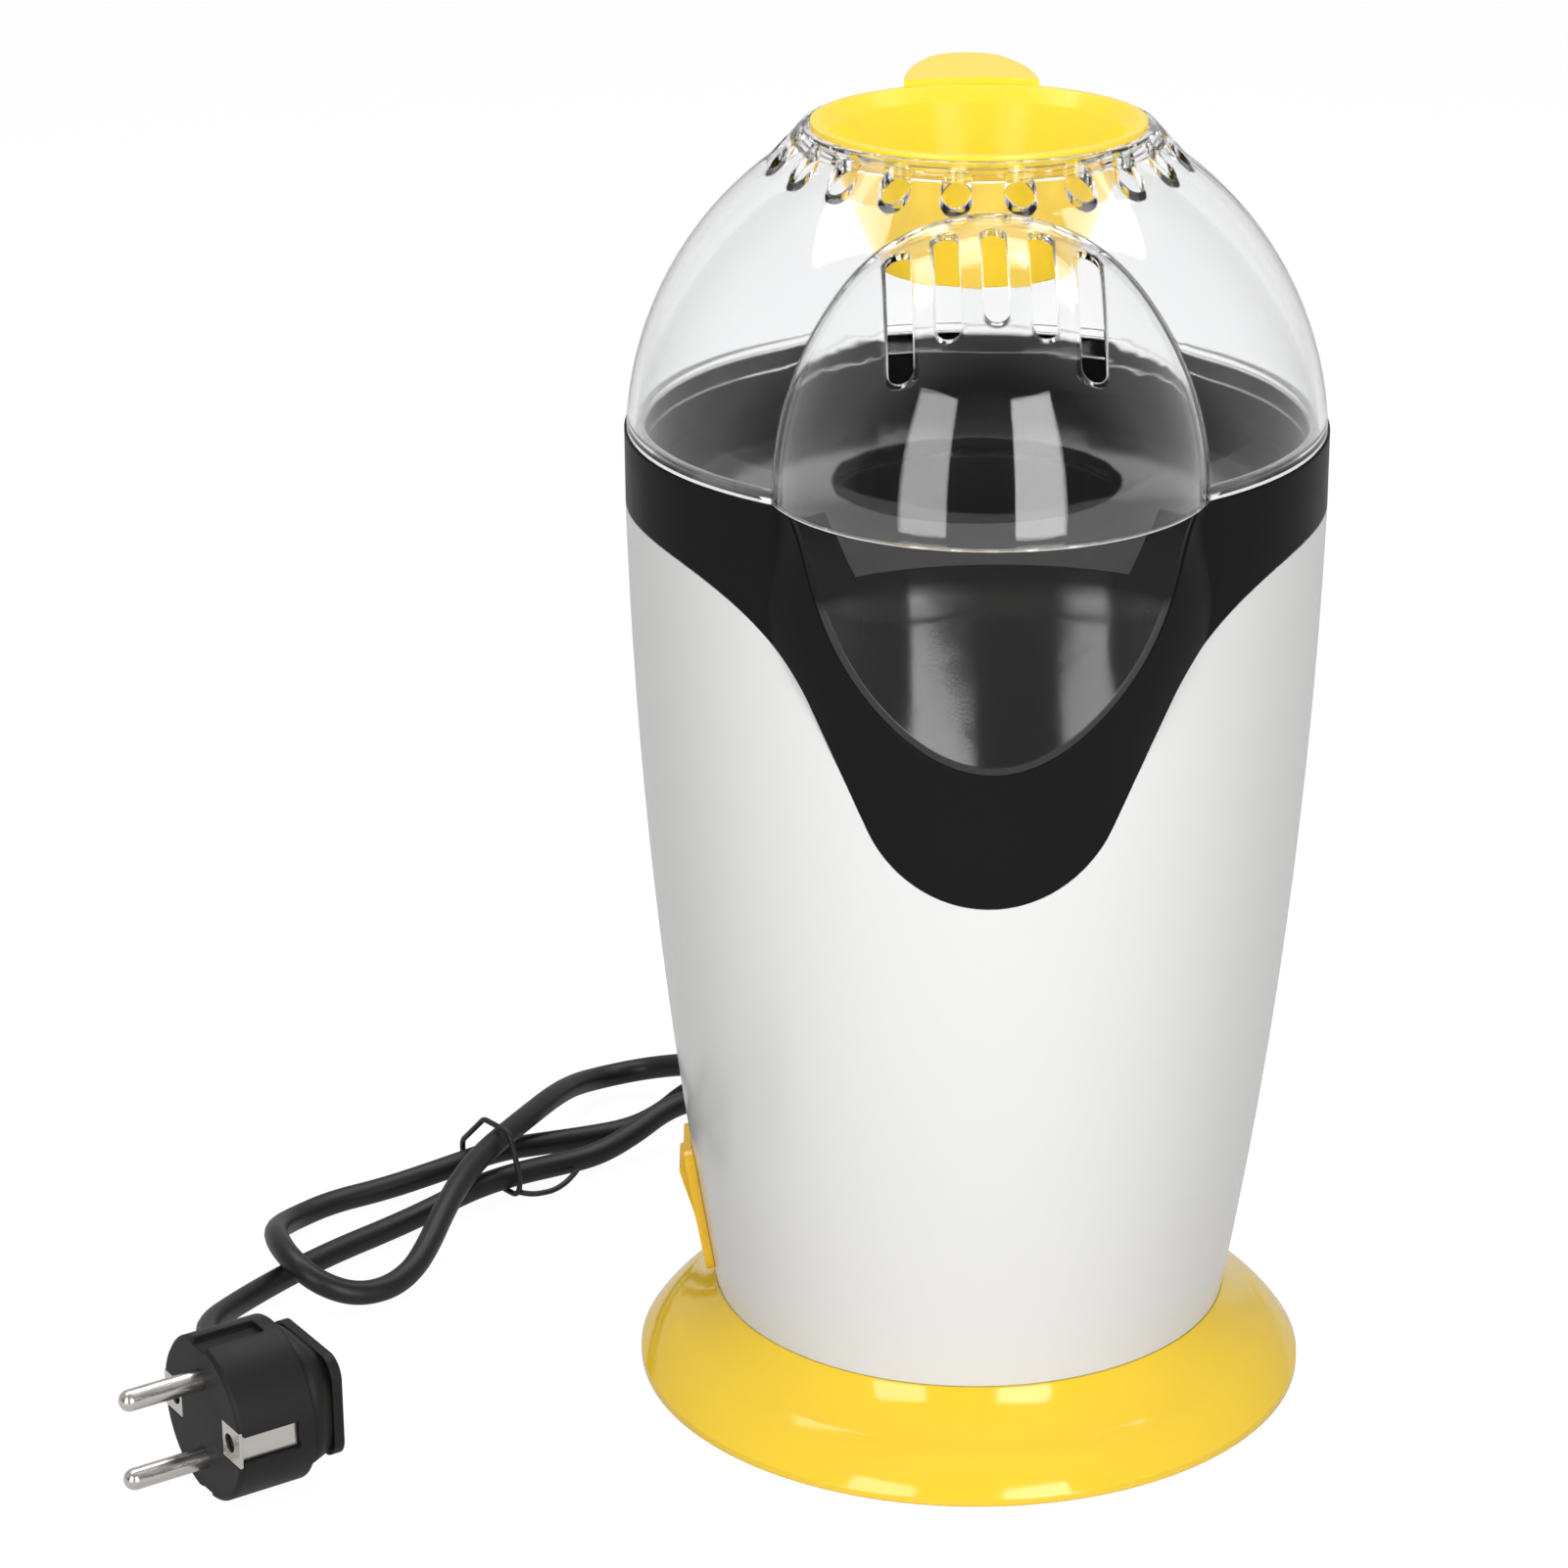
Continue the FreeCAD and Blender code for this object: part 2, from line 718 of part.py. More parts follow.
def body_shell():
    """White barrel, open where the collar's bib sits, with the switch and lead holes."""
    wide = D.collar_radius * 1.5
    top = D.seam_height - D.seam_gap
    shell = Moulding("body_barrel")
    shell.turn(shell_corners(as_size(0), D.ledge_height, D.collar_height))
    shell.turn(shell_corners(D.shell_wall, D.ledge_height, D.collar_height), cut=True)
    bib = seam_curve(D.seam_gap)
    bib += [(-wide, top), (-wide, D.collar_height), (wide, D.collar_height), (wide, top)]
    shell.extrude(shell.outline("XZ_Plane", bib), wide, cut=True, reverse=True)
    back = [(-wide, top), (wide, top), (wide, D.collar_height), (-wide, D.collar_height)]
    shell.extrude(shell.outline("XZ_Plane", back), wide, cut=True)
    window = switch_block(D.housing_depth * 2, D.housing_width + 2 * D.seat_gap,
                          D.housing_length + 2 * D.seat_gap, -D.housing_depth)
    lead_hole = cylinder(D.gland_radius + D.seat_gap, D.collar_radius, z=D.gland_height,
                         turn=Rotation(X_AXIS, -90))
    return piece("body_shell", cut(cut(shell.body, window), lead_hole))


def spout_front(height):
    """Distance of the spout's front line from the axis at a height."""
    low_reach = shell_radius_at(D.bib_low) + D.spout_stand
    rise = (D.spout_reach - low_reach) / (D.collar_height - D.bib_low)
    return low_reach + (height - D.bib_low) * rise


def spout_circle(height, half, around_radius):
    """Radius of the spout's circle that leaves the barrel at a half width."""
    front = spout_front(height)
    depth = root(around_radius * around_radius - half * half)
    centre = (front * front - around_radius * around_radius) / (2 * (front - depth))
    return front - centre


def spout_sections(body, inset):
    """Circles that the spout is lofted through, set in by a wall."""
    crease = D.collar_height - D.crease_drop
    between = D.collar_height - D.crease_drop / 2
    waist = D.collar_height - D.waist_drop
    toe = D.collar_height - D.toe_drop
    toe_radius = spout_circle(toe, D.toe_half, shell_radius_at(toe))
    levels = (
        (D.bib_low - D.spout_run_out, toe_radius),
        (toe, toe_radius),
        (waist, spout_circle(waist, D.waist_half, shell_radius_at(waist))),
        (crease, spout_circle(crease, D.crease_half, shell_radius_at(crease))),
        (between, spout_circle(between, D.crease_half, D.collar_radius)),
        (D.collar_height, D.spout_radius),
    )
    return [body.circle("XY_Plane", 0, radius - spout_front(height), radius - inset, height)
            for height, radius in levels]


def chute_prism(extra):
    """Round-bottomed trough, widened by extra, running down through the spout's mouth."""
    middle = D.mouth_low + D.mouth_round
    radius = D.mouth_round + extra
    x_low = radius * sine(D.mouth_slope)
    z_low = middle - radius * cosine(D.mouth_slope)
    x_high = x_low + D.mouth_flank * cosine(D.mouth_slope)
    z_high = z_low + D.mouth_flank * sine(D.mouth_slope)
    sketch = doc.addObject("Sketcher::SketchObject", "trough")
    draw_outline(sketch, [
        (-x_high, z_high), (-x_low, z_low, radius, LEFT), (x_low, z_low), (x_high, z_high)])
    place(sketch, y=-spout_front(D.mouth_low), turn=Rotation(X_AXIS, 90))
    prism = doc.addObject("Part::Extrusion", "trough_prism")
    prism.Base = sketch
    prism.DirMode = "Custom"
    prism.Dir = Vector(0, cosine(D.chute_fall).value, sine(D.chute_fall).value)
    bind(prism, "Dir.y", cosine(D.chute_fall))
    bind(prism, "Dir.z", sine(D.chute_fall))
    prism.Solid = True
    bind(prism, "LengthFwd", D.spout_reach)
    bind(prism, "LengthRev", D.spout_radius)
    return prism


def collar():
    """Black ring with the bib and the spout that swells out of it."""
    wide = D.collar_radius * 1.5
    ring = Moulding("collar_ring")
    ring.turn(shell_corners(as_size(0), D.shell_foot_height / 2, D.collar_height))
    ring.loft(spout_sections(ring, 0))
    below = [(wide, D.seam_height)] + seam_curve(as_size(0)) + [(-wide, D.seam_height), (-wide, 0), (wide, 0)]
    ring.extrude(ring.outline("XZ_Plane", below), wide, cut=True, reverse=True)
    back = [(-wide, 0), (wide, 0), (wide, D.seam_height), (-wide, D.seam_height)]
    ring.extrude(ring.outline("XZ_Plane", back), wide, cut=True)
    ring.turn(shell_corners(D.collar_wall, D.shell_foot_height / 2, D.collar_height), cut=True)
    ring.loft(spout_sections(ring, D.collar_wall), cut=True)
    mouth = chute_prism((D.chute_wall + D.chute_gap) / cosine(D.chute_fall))
    return piece("collar", cut(ring.body, mouth))


def deck_chute():
    """Deck round the chamber's mouth, running down into the chute."""
    rim = collar_inner - D.lift_gap
    room = Moulding("spout_room")
    room.loft(spout_sections(room, D.chute_flush))
    deck = cylinder(rim, D.deck_thickness, z=deck_under)
    inside = cylinder(rim, D.deck_height, z=0)
    outside = cut(room.body, cylinder(rim, D.collar_height, z=0))
    bed = fuse(inside, outside)
    trough = common(chute_prism(D.chute_wall / cosine(D.chute_fall)), bed)
    lugs = []
    for side in (-1, 1):
        turn = Rotation(Z_AXIS, side * D.lug_angle.value - 90)
        x = D.lug_circle * sine(D.lug_angle) - side * D.lug_width * cosine(D.lug_angle) / 2
        y = -D.lug_circle * cosine(D.lug_angle) - side * D.lug_width * sine(D.lug_angle) / 2
        x = x if side > 0 else -(D.lug_circle * sine(D.lug_angle)) - D.lug_width * cosine(D.lug_angle) / 2
        lugs.append(block(D.lug_depth, D.lug_width, D.lug_height + D.deck_thickness, x, y, deck_under, turn))
    whole = fuse(deck, trough, *lugs)
    opened = cut(whole, chute_prism(as_size(0)))
    hole = cylinder(D.chamber_radius, D.deck_height, z=deck_under - D.deck_thickness)
    return piece("deck_chute", cut(opened, hole))


def popping_chamber():
    """Spun aluminium cup that hangs by its flange, with slanted air slots low in its wall."""
    outer = D.chamber_radius + D.chamber_wall
    inner = D.chamber_radius
    chamber = Moulding("popping_chamber")
    chamber.turn([
        (0, chamber_floor),
        (outer - D.chamber_corner, chamber_floor, D.chamber_corner, LEFT),
        (outer, chamber_floor + D.chamber_corner),
        (outer, shield_top),
        (D.chamber_flange, shield_top),
        (D.chamber_flange, flange_top),
        (inner, flange_top),
        (inner, chamber_floor + D.chamber_corner, D.chamber_corner - D.chamber_wall, RIGHT),
        (outer - D.chamber_corner, chamber_floor + D.chamber_wall),
        (0, chamber_floor + D.chamber_wall),
    ])
    along = (D.chamber_slot_length * sine(D.chamber_slot_lean) / 2,
             D.chamber_slot_length * cosine(D.chamber_slot_lean) / 2)
    aside = (D.chamber_slot_width * cosine(D.chamber_slot_lean) / 2,
             -D.chamber_slot_width * sine(D.chamber_slot_lean) / 2)
    corners = []
    for up, out in ((-1, -1), (-1, 1), (1, 1), (1, -1)):
        corners.append((up * along[0] + out * aside[0],
                        chamber_floor + D.chamber_slot_rise + up * along[1] + out * aside[1]))
    slot = chamber.extrude(chamber.outline("YZ_Plane", corners), D.chamber_flange, cut=True, reverse=True)
    chamber.repeat(slot, CHAMBER_SLOTS)
    return piece("popping_chamber", chamber.body)


def chamber_seal():
    """Soft ring between the chamber's flange and the deck."""
    whole = cylinder(D.chamber_flange, D.seal_thickness, z=flange_top)
    return piece("chamber_seal", cut(whole, cylinder(D.seal_inner, D.seal_thickness, z=flange_top)))


def heat_shield():
    """Sheet tube from the fan duct to the chamber's flange."""
    inner = D.shield_radius - D.shield_wall
    shield = Moulding("heat_shield")
    shield.turn([
        (inner, D.duct_top),
        (D.shield_flange, D.duct_top),
        (D.shield_flange, D.duct_top + D.shield_wall),
        (D.shield_radius, D.duct_top + D.shield_wall),
        (D.shield_radius, shield_top),
        (inner, shield_top),
    ])
    return piece("heat_shield", shield.body)


def coil_points():
    """Corners of the heater wire, a quarter turn apart, climbing round the mica cross."""
    points = []
    for step in range(4 * COIL_TURNS + 1):
        angle = math.radians(90 * step)
        height = D.duct_top.value + D.coil_start.value + D.coil_pitch.value * step / 4
        reach = D.coil_radius.value
        points.append(Vector(reach * math.cos(angle), reach * math.sin(angle), height))
    return points


def mica_frame():
    """Two half-lapped mica plates, notched where the heater wire crosses their edges."""
    reach = D.shield_radius.value - D.shield_wall.value - D.seat_gap.value
    low, height, thick = D.duct_top.value, D.mica_height.value, D.mica_thickness.value
    slot = thick + 2 * D.running_gap.value
    plates = []
    for turned in (False, True):
        plate = Part.makeBox(2 * reach, thick, height, Vector(-reach, -thick / 2, low))
        slot_low = low if turned else low + height / 2
        plate = plate.cut(Part.makeBox(slot, slot, height / 2, Vector(-slot / 2, -slot / 2, slot_low)))
        if turned:
            plate.rotate(Vector(), Z_AXIS, 90)
        plates.append(plate)
    notch = D.coil_wire.value + D.seat_gap.value
    root_depth = 1.5 * D.coil_wire.value + thick / 2 + D.seam_gap.value
    for number, point in enumerate(coil_points()):
        outward = Vector(point.x, point.y, 0).normalize()
        slit = Part.makeBox(reach, 2 * thick, 2 * notch, Vector(-root_depth, -thick, -notch))
        slit.Placement = Placement(point, Rotation(X_AXIS, outward))
        plates[number % 2] = plates[number % 2].cut(slit)
    return group("mica_frame", plates)


def heater_coil():
    """Resistance wire strung round the mica cross."""
    points = coil_points()
    feature = doc.addObject("Part::Feature", "heater_coil")
    path = Part.Wire([Part.LineSegment(a, b).toShape() for a, b in zip(points, points[1:])])
    ring = Part.Wire(Part.Circle(points[0], points[1] - points[0], D.coil_wire.value).toShape())
    feature.Shape = path.makePipeShell([ring], True, False, 1)
    return piece("heater_coil", feature)


def fan_housing():
    """Duct from the base to the heat shield, with the spider that carries the motor."""
    inner = D.duct_radius - D.duct_wall
    housing = Moulding("fan_housing")
    housing.turn([
        (inner, D.ledge_height),
        (D.duct_radius, D.ledge_height),
        (D.duct_radius, D.duct_top - D.duct_rim),
        (D.shield_flange, D.duct_top - D.duct_rim),
        (D.shield_flange, D.duct_top),
        (inner - D.duct_wall, D.duct_top),
        (inner - D.duct_wall, D.duct_top - D.duct_rim / 2),
        (inner, D.duct_top - D.duct_rim),
    ])
    hub = D.motor_radius + D.duct_wall
    housing.extrude(housing.circle("XY_Plane", 0, 0, hub, D.spider_height), D.spider_thickness)
    half = D.spider_arm / 2
    reach = D.duct_radius - D.duct_wall / 2
    corners = [(hub / 2, -half), (reach, -half), (reach, half), (hub / 2, half)]
    arm = housing.outline("XY_Plane", corners, D.spider_height)
    housing.repeat(housing.extrude(arm, D.spider_thickness), SPIDER_ARMS)
    eye = housing.circle("XY_Plane", 0, 0, D.motor_boss_radius + D.seat_gap, D.spider_height)
    housing.extrude(eye, D.spider_thickness, cut=True, reverse=True)
    for side in (-1, 1):
        hole = housing.circle("XY_Plane", side * D.motor_screw_offset, 0,
                              D.screw_radius + D.seat_gap, D.spider_height)
        housing.extrude(hole, D.spider_thickness, cut=True, reverse=True)
    return piece("fan_housing", housing.body)


def motor_can():
    """Steel motor case with two flats, a nose boss and the shaft's bearing bore."""
    case = Moulding("motor_case")
    case.turn([
        (0, motor_low), (D.motor_radius, motor_low), (D.motor_radius, D.spider_height),
        (D.motor_boss_radius, D.spider_height), (D.motor_boss_radius, spider_top), (0, spider_top)])
    for side in (-1, 1):
        far = D.motor_radius * 1.2
        flat = [(side * D.motor_flat, -far), (side * far, -far),
                (side * far, far), (side * D.motor_flat, far)]
        case.extrude(case.outline("XY_Plane", flat, motor_low), D.motor_length, cut=True, reverse=True)
        pilot = case.circle("XY_Plane", side * D.motor_screw_offset, 0, pilot_radius, D.spider_height)
        case.extrude(pilot, D.motor_length / 4, cut=True)
    bore = case.circle("XY_Plane", 0, 0, D.shaft_radius + D.running_gap, spider_top)
    case.extrude(bore, spider_top - D.shaft_low + D.seat_gap, cut=True)
    return piece("motor_can", case.body)


def motor_end_cap():
    """Plastic brush cap under the motor, with slits for its two terminals."""
    cap = cylinder(D.motor_radius - D.seat_gap, D.end_cap_length, z=cap_low)
    flats = block(2 * (D.motor_flat - D.seat_gap), D.motor_radius * 2, D.end_cap_length,
                  D.seat_gap - D.motor_flat, -D.motor_radius, cap_low)
    shaped = common(cap, flats)
    for side in (-1, 1):
        slit = block(D.mica_thickness, D.blade_width, D.end_cap_length,
                     side * D.motor_flat * 0.6 - D.mica_thickness / 2, -D.blade_width / 2, cap_low)
        shaped = cut(shaped, slit)
    return piece("motor_end_cap", shaped)


def motor_terminals():
    """Two brass blades through the brush cap, down to the diode board."""
    gap = D.running_gap.value
    thick = D.mica_thickness.value - 2 * gap
    width = D.blade_width.value - 2 * gap
    low = board_low.value - D.board_thickness.value
    blades = []
    for side in (-1, 1):
        corner = Vector(side * D.motor_flat.value * 0.6 - thick / 2, -width / 2, low)
        blades.append(Part.makeBox(thick, width, motor_low.value - low, corner))
    return group("motor_terminals", blades)


def motor_screws():
    """Two screws through the spider into the motor's nose."""
    screws = []
    for side in (-1, 1):
        x = side * D.motor_screw_offset.value
        top = spider_top.value
        head = round_bar(D.screw_head_radius.value * 0.75, top, top + D.screw_head_height.value, x)
        shank = round_bar(D.screw_radius.value, D.spider_height.value - D.motor_length.value / 5, top, x)
        screws.append(head.fuse(shank))
    return group("motor_screws", screws)


board_low = cap_low - D.board_thickness - D.seat_gap


def rectifier_board():
    """Round board under the motor with four diodes."""
    disc = round_bar(D.board_radius.value, board_low.value, cap_low.value - D.seat_gap.value)
    for side in (-1, 1):
        corner = Vector((side * D.motor_flat.value * 0.6) - D.mica_thickness.value / 2,
                        -D.blade_width.value / 2, board_low.value)
        disc = disc.cut(Part.makeBox(D.mica_thickness.value, D.blade_width.value,
                                     D.board_thickness.value, corner))
    for x in (-1, 1):
        for y in (-1, 1):
            start = Vector(x * 4.0 - D.diode_length.value / 2, y * D.board_radius.value * 0.55,
                           board_low.value - D.diode_radius.value * 0.8)
            disc = disc.fuse(Part.makeCylinder(D.diode_radius.value, D.diode_length.value, start, X_AXIS))
    feature = doc.addObject("Part::Feature", "rectifier_board")
    feature.Shape = disc.removeSplitter()
    return piece("rectifier_board", feature)


def motor_shaft():
    """Steel shaft, from the motor's bearing to the fan's cap."""
    return piece("motor_shaft", cylinder(D.shaft_radius, D.shaft_top - D.shaft_low, z=D.shaft_low))


def fan_impeller():
    """Axial fan: a hub and pitched blades."""
    hub_top = D.hub_low + D.hub_height
    fan = Moulding("fan_wheel")
    bore = D.shaft_radius + D.running_gap / 2
    fan.turn([(bore, D.hub_low), (D.hub_radius, D.hub_low), (D.hub_radius, hub_top), (bore, hub_top)])
    middle = D.hub_low + D.hub_height / 2
    reach = D.hub_height * 0.46 / sine(D.blade_pitch)
    along = (reach * cosine(D.blade_pitch), reach * sine(D.blade_pitch))
    aside = (-D.blade_thickness * sine(D.blade_pitch) / 2, D.blade_thickness * cosine(D.blade_pitch) / 2)
    corners = []
    for far, over in ((-1, -1), (1, -1), (1, 1), (-1, 1)):
        corners.append((far * along[0] + over * aside[0], middle + far * along[1] + over * aside[1]))
    root = D.hub_radius * 0.7
    blade = fan.extrude(fan.outline("YZ_Plane", corners, root), D.fan_radius - root)
    fan.repeat(blade, FAN_BLADES)
    return piece("fan_impeller", cut(fan.body, cylinder(bore, D.shaft_top, z=0)))


def fan_cap():
    """Push-on cap that keeps the fan on its shaft."""
    low = D.hub_low + D.hub_height
    cap = cylinder(D.cap_radius, D.cap_height, z=low)
    return piece("fan_cap", cut(cap, cylinder(D.shaft_radius + D.running_gap / 2, D.cap_height, z=low)))


def thermostat():
    """Bimetal disc thermostat on the heat shield, with two blades."""
    x = D.shield_radius + D.running_gap
    across = Rotation(Y_AXIS, 90)
    case = cylinder(D.thermostat_radius, D.thermostat_depth, x=x, z=D.thermostat_height, turn=across)
    ears = block(D.shield_wall * 2, D.thermostat_radius * 3, D.thermostat_radius, x,
                 D.thermostat_radius * -1.5, D.thermostat_height - D.thermostat_radius / 2)
    blades = []
    for side in (-1, 1):
        blades.append(block(D.terminal_length, D.shield_wall, D.blade_width, x + D.thermostat_depth,
                            side * D.thermostat_radius / 2, D.thermostat_height - D.blade_width / 2))
    return piece("thermostat", fuse(case, ears, *blades))


def thermal_fuse():
    """One-shot fuse lying along the heat shield, with its two leads."""
    y = D.shield_radius + D.fuse_radius + D.seat_gap
    case = cylinder(D.fuse_radius, D.fuse_length, y=y, z=D.fuse_height)
    lead = cylinder(D.coil_wire, D.fuse_length * 3, y=y, z=D.fuse_height - D.fuse_length)
    return piece("thermal_fuse", fuse(case, lead))


def switch_turn():
    """Rotation that leans the switch with the barrel's wall."""
    return Rotation(Y_AXIS, -D.switch_tilt.value)


def shell_radius_at(height):
    """Outer radius of the barrel at a height, on its arc."""
    wide = D.collar_radius - D.shell_foot_radius
    tall = D.seam_height - D.shell_foot_height
    chord = root(wide * wide + tall * tall)
    rise = root(D.shell_arc * D.shell_arc - chord * chord / 4)
    middle_x = (D.collar_radius + D.shell_foot_radius) / 2 - rise * tall / chord
    middle_z = (D.seam_height + D.shell_foot_height) / 2 + rise * wide / chord
    drop = height - middle_z
    return middle_x + root(D.shell_arc * D.shell_arc - drop * drop)


def switch_spot(depth, along):
    """Point of the switch, from its depth behind the barrel's surface and its height along it."""
    surface = shell_radius_at(D.switch_height)
    x = -surface + depth * cosine(D.switch_tilt) - along * sine(D.switch_tilt)
    z = D.switch_height + depth * sine(D.switch_tilt) + along * cosine(D.switch_tilt)
    return x, z


def switch_block(depth, width, length, front):
    """Box in the switch's leaning frame, centred across and along, from a front depth."""
    x, z = switch_spot(as_size(front), -as_size(length) / 2)
    return block(depth, width, length, x, -as_size(width) / 2, z, switch_turn())


def switch_bezel():
    """Frame that sits on the barrel and the housing behind it."""
    proud = D.bezel_proud
    flange = switch_block(proud + D.shell_wall, D.bezel_width, D.bezel_length, -proud)
    rounded = doc.addObject("Part::Fillet", "bezel_corners")
    doc.recompute()
    rounded.Base = flange
    rounded.Edges = [(number, 4.0, 4.0) for number in side_edges(flange)]
    seated = cut(rounded, barrel(-D.running_gap))
    housing = switch_block(proud + D.housing_depth, D.housing_width, D.housing_length, -proud)
    well = switch_block(proud + D.housing_depth - D.housing_wall, D.housing_width - 2 * D.housing_wall,
                        D.housing_length - 2 * D.housing_wall, -proud)
    x, z = switch_spot(rocker_pivot, as_size(0))
    bore = cylinder(D.rocker_pin + D.running_gap, D.housing_width, x, -D.housing_width / 2, z,
                    Rotation(X_AXIS, -90))
    return piece("switch_bezel", cut(cut(fuse(seated, housing), well), bore))


def side_edges(box):
    """Numbers of a leaning box's edges that run from its front to its back."""
    depth = box.Length.Value
    return [number for number, edge in enumerate(box.Shape.Edges, start=1)
            if abs(edge.Length - depth) < 1e-6]


rocker_pivot = D.rocker_depth / 2


def switch_rocker():
    """Dished rocker on its pivot pins, drawn flat and then tilted to its off position."""
    half = D.housing_length / 2 - D.housing_wall - D.rocker_gap
    width = D.housing_width - 2 * D.housing_wall - 2 * D.rocker_gap
    front = -D.rocker_proud - rocker_pivot
    back = D.rocker_depth - rocker_pivot
    sketch = doc.addObject("Sketcher::SketchObject", "rocker_outline")
    draw_outline(sketch, [
        (front + D.rocker_dish / 2, -half), (back - D.rocker_depth * 0.6, -half),
        (back, -half / 3), (back, half / 3), (back - D.rocker_depth * 0.6, half),
        (front + D.rocker_dish / 2, half), (front, half - D.rocker_dish),
        (front + D.rocker_dish, 0), (front, D.rocker_dish - half)])
    place(sketch, y=width / 2, turn=Rotation(X_AXIS, 90))
    bar = doc.addObject("Part::Extrusion", "rocker_bar")
    bar.Base = sketch
    bar.DirMode = "Normal"
    bar.Solid = True
    bind(bar, "LengthFwd", width)
    pin_length = D.housing_width - D.housing_wall
    pin = cylinder(D.rocker_pin, pin_length, y=-pin_length / 2, turn=Rotation(X_AXIS, -90))
    x, z = switch_spot(rocker_pivot, as_size(0))
    rocker = fuse(bar, pin)
    place(rocker, x, 0, z, Rotation(Y_AXIS, -D.switch_tilt.value - D.rocker_rest.value))
    return piece("switch_rocker", rocker)


def switch_terminals():
    """Two blades at the back of the switch."""
    blades = []
    for side in (-1, 1):
        x, z = switch_spot(D.housing_depth, side * D.housing_length / 4 - D.blade_width / 2)
        blade = Part.makeBox(D.terminal_length.value, D.mica_thickness.value, D.blade_width.value)
        blade.Placement = Placement(Vector(x.value, -D.mica_thickness.value / 2, z.value), switch_turn())
        blades.append(blade)
    return group("switch_terminals", blades)


def dome_radius(height, inset):
    """Radius of the dome at a height, set in by a wall."""
    rise = as_size(height) - D.lid_centre
    return root((D.lid_radius - inset) * (D.lid_radius - inset) - rise * rise)


def dome_height(radius, inset):
    """Height of the dome at a radius, set in by a wall."""
    return D.lid_centre + root((D.lid_radius - inset) * (D.lid_radius - inset) - radius * radius)


neck_top = dome_height(D.shoulder_radius, 0) + D.neck_rise


def hood_profile(inset):
    """Quarter oval of the hood: a side arc that runs into a smaller crown arc."""
    side = D.hood_side
    reach = D.spout_radius
    crown = (2 * side * reach - reach * reach - D.hood_height * D.hood_height) / (2 * (side - D.hood_height))
    share = side / (side - crown)
    x_join = reach - side + (side - reach) * share - inset * (side - reach) / (side - crown)
    z_join = (D.hood_height - crown) * share - inset * (D.hood_height - crown) / (side - crown)
    return [
        (0, D.collar_height),
        (reach - inset, D.collar_height, side - inset, LEFT),
        (x_join, D.collar_height + z_join, crown - inset, LEFT),
        (0, D.collar_height + D.hood_height - inset),
    ]


def lid():
    """Clear dome with the cup's neck, the hood over the spout, the hood's slots and the vent ring."""
    spigot_radius = collar_inner - D.lift_gap
    spigot_low = lid_low - D.spigot_depth
    shoulder_in = D.shoulder_radius - D.lid_wall * 0.75
    ledge_low = neck_top - D.neck_step - D.ledge_lip
    hood_back = D.spout_radius - D.spout_reach
    dome = Moulding("lid")
    dome.turn([
        (0, spigot_low),
        (spigot_radius, spigot_low),
        (spigot_radius, lid_low),
        (dome_radius(lid_low, 0), lid_low, D.lid_radius, LEFT),
        (D.shoulder_radius, dome_height(D.shoulder_radius, 0)),
        (D.neck_radius, neck_top),
        (0, neck_top),
    ])
    dome.turn(hood_profile(0), axis_y=hood_back)
    ring_inner = spigot_radius - D.spigot_wall
    dome.turn([
        (0, spigot_low),
        (ring_inner, spigot_low),
        (ring_inner, lid_low + D.lid_wall),
        (dome_radius(lid_low + D.lid_wall, D.lid_wall), lid_low + D.lid_wall,
         D.lid_radius - D.lid_wall, LEFT),
        (shoulder_in, dome_height(shoulder_in, D.lid_wall)),
        (D.neck_radius + D.neck_wall / 2, ledge_low),
        (cup_neck + 2 * D.lift_gap, ledge_low),
        (cup_neck + 2 * D.lift_gap, neck_top - D.neck_step),
        (neck_inner, neck_top - D.neck_step),
        (neck_inner, neck_top),
        (0, neck_top),
    ], cut=True)
    dome.turn(hood_profile(D.lid_wall), cut=True, axis_y=hood_back)
    clear = D.spout_radius + D.lift_gap
    under = dome.circle("XY_Plane", 0, hood_back, clear, spigot_low)
    dome.extrude(under, lid_low - spigot_low, cut=True, reverse=True)
    half = D.slot_width / 2
    ends = ((D.slot_mid_top, D.slot_mid_low), (D.slot_next_top, D.slot_next_low),
            (D.slot_far_top, -D.slot_far_low))
    for column in range(-2, 3):
        top, low = ends[abs(column)]
        x = column * D.slot_pitch
        slot = slot_plane(dome)
        draw_outline(slot, [
            (x + half, low + half), (x + half, top - half, half * 1.001, LEFT),
            (x - half, top - half), (x - half, low + half, half * 1.001, LEFT)])
        dome.extrude(slot, D.slot_depth, cut=True)
    angle = 180 / VENT_COUNT
    circle = D.neck_radius + D.vent_offset
    vent = dome.circle("XY_Plane", circle * sine(angle), -circle * cosine(angle), D.vent_radius, neck_top)
    deep = neck_top - dome_height(D.shoulder_radius + D.lid_wall, D.lid_wall)
    dome.repeat(dome.extrude(vent, deep, cut=True), VENT_COUNT)
    return piece("lid", dome.body)


def slot_plane(body):
    """Empty sketch in front of the hood, leaning back with the hood's crown."""
    sketch = body.sketch("XZ_Plane")
    sketch.setExpression("AttachmentOffset.Base.z", None)
    up = D.collar_height + D.slot_stand * sine(D.slot_lean)
    out = D.spout_reach - D.spout_radius + D.slot_stand * cosine(D.slot_lean)
    sketch.AttachmentOffset = Placement(Vector(0, up.value, out.value), Rotation(X_AXIS, -D.slot_lean.value))
    bind(sketch, "AttachmentOffset.Base.y", up)
    bind(sketch, "AttachmentOffset.Base.z", out)
    return sketch


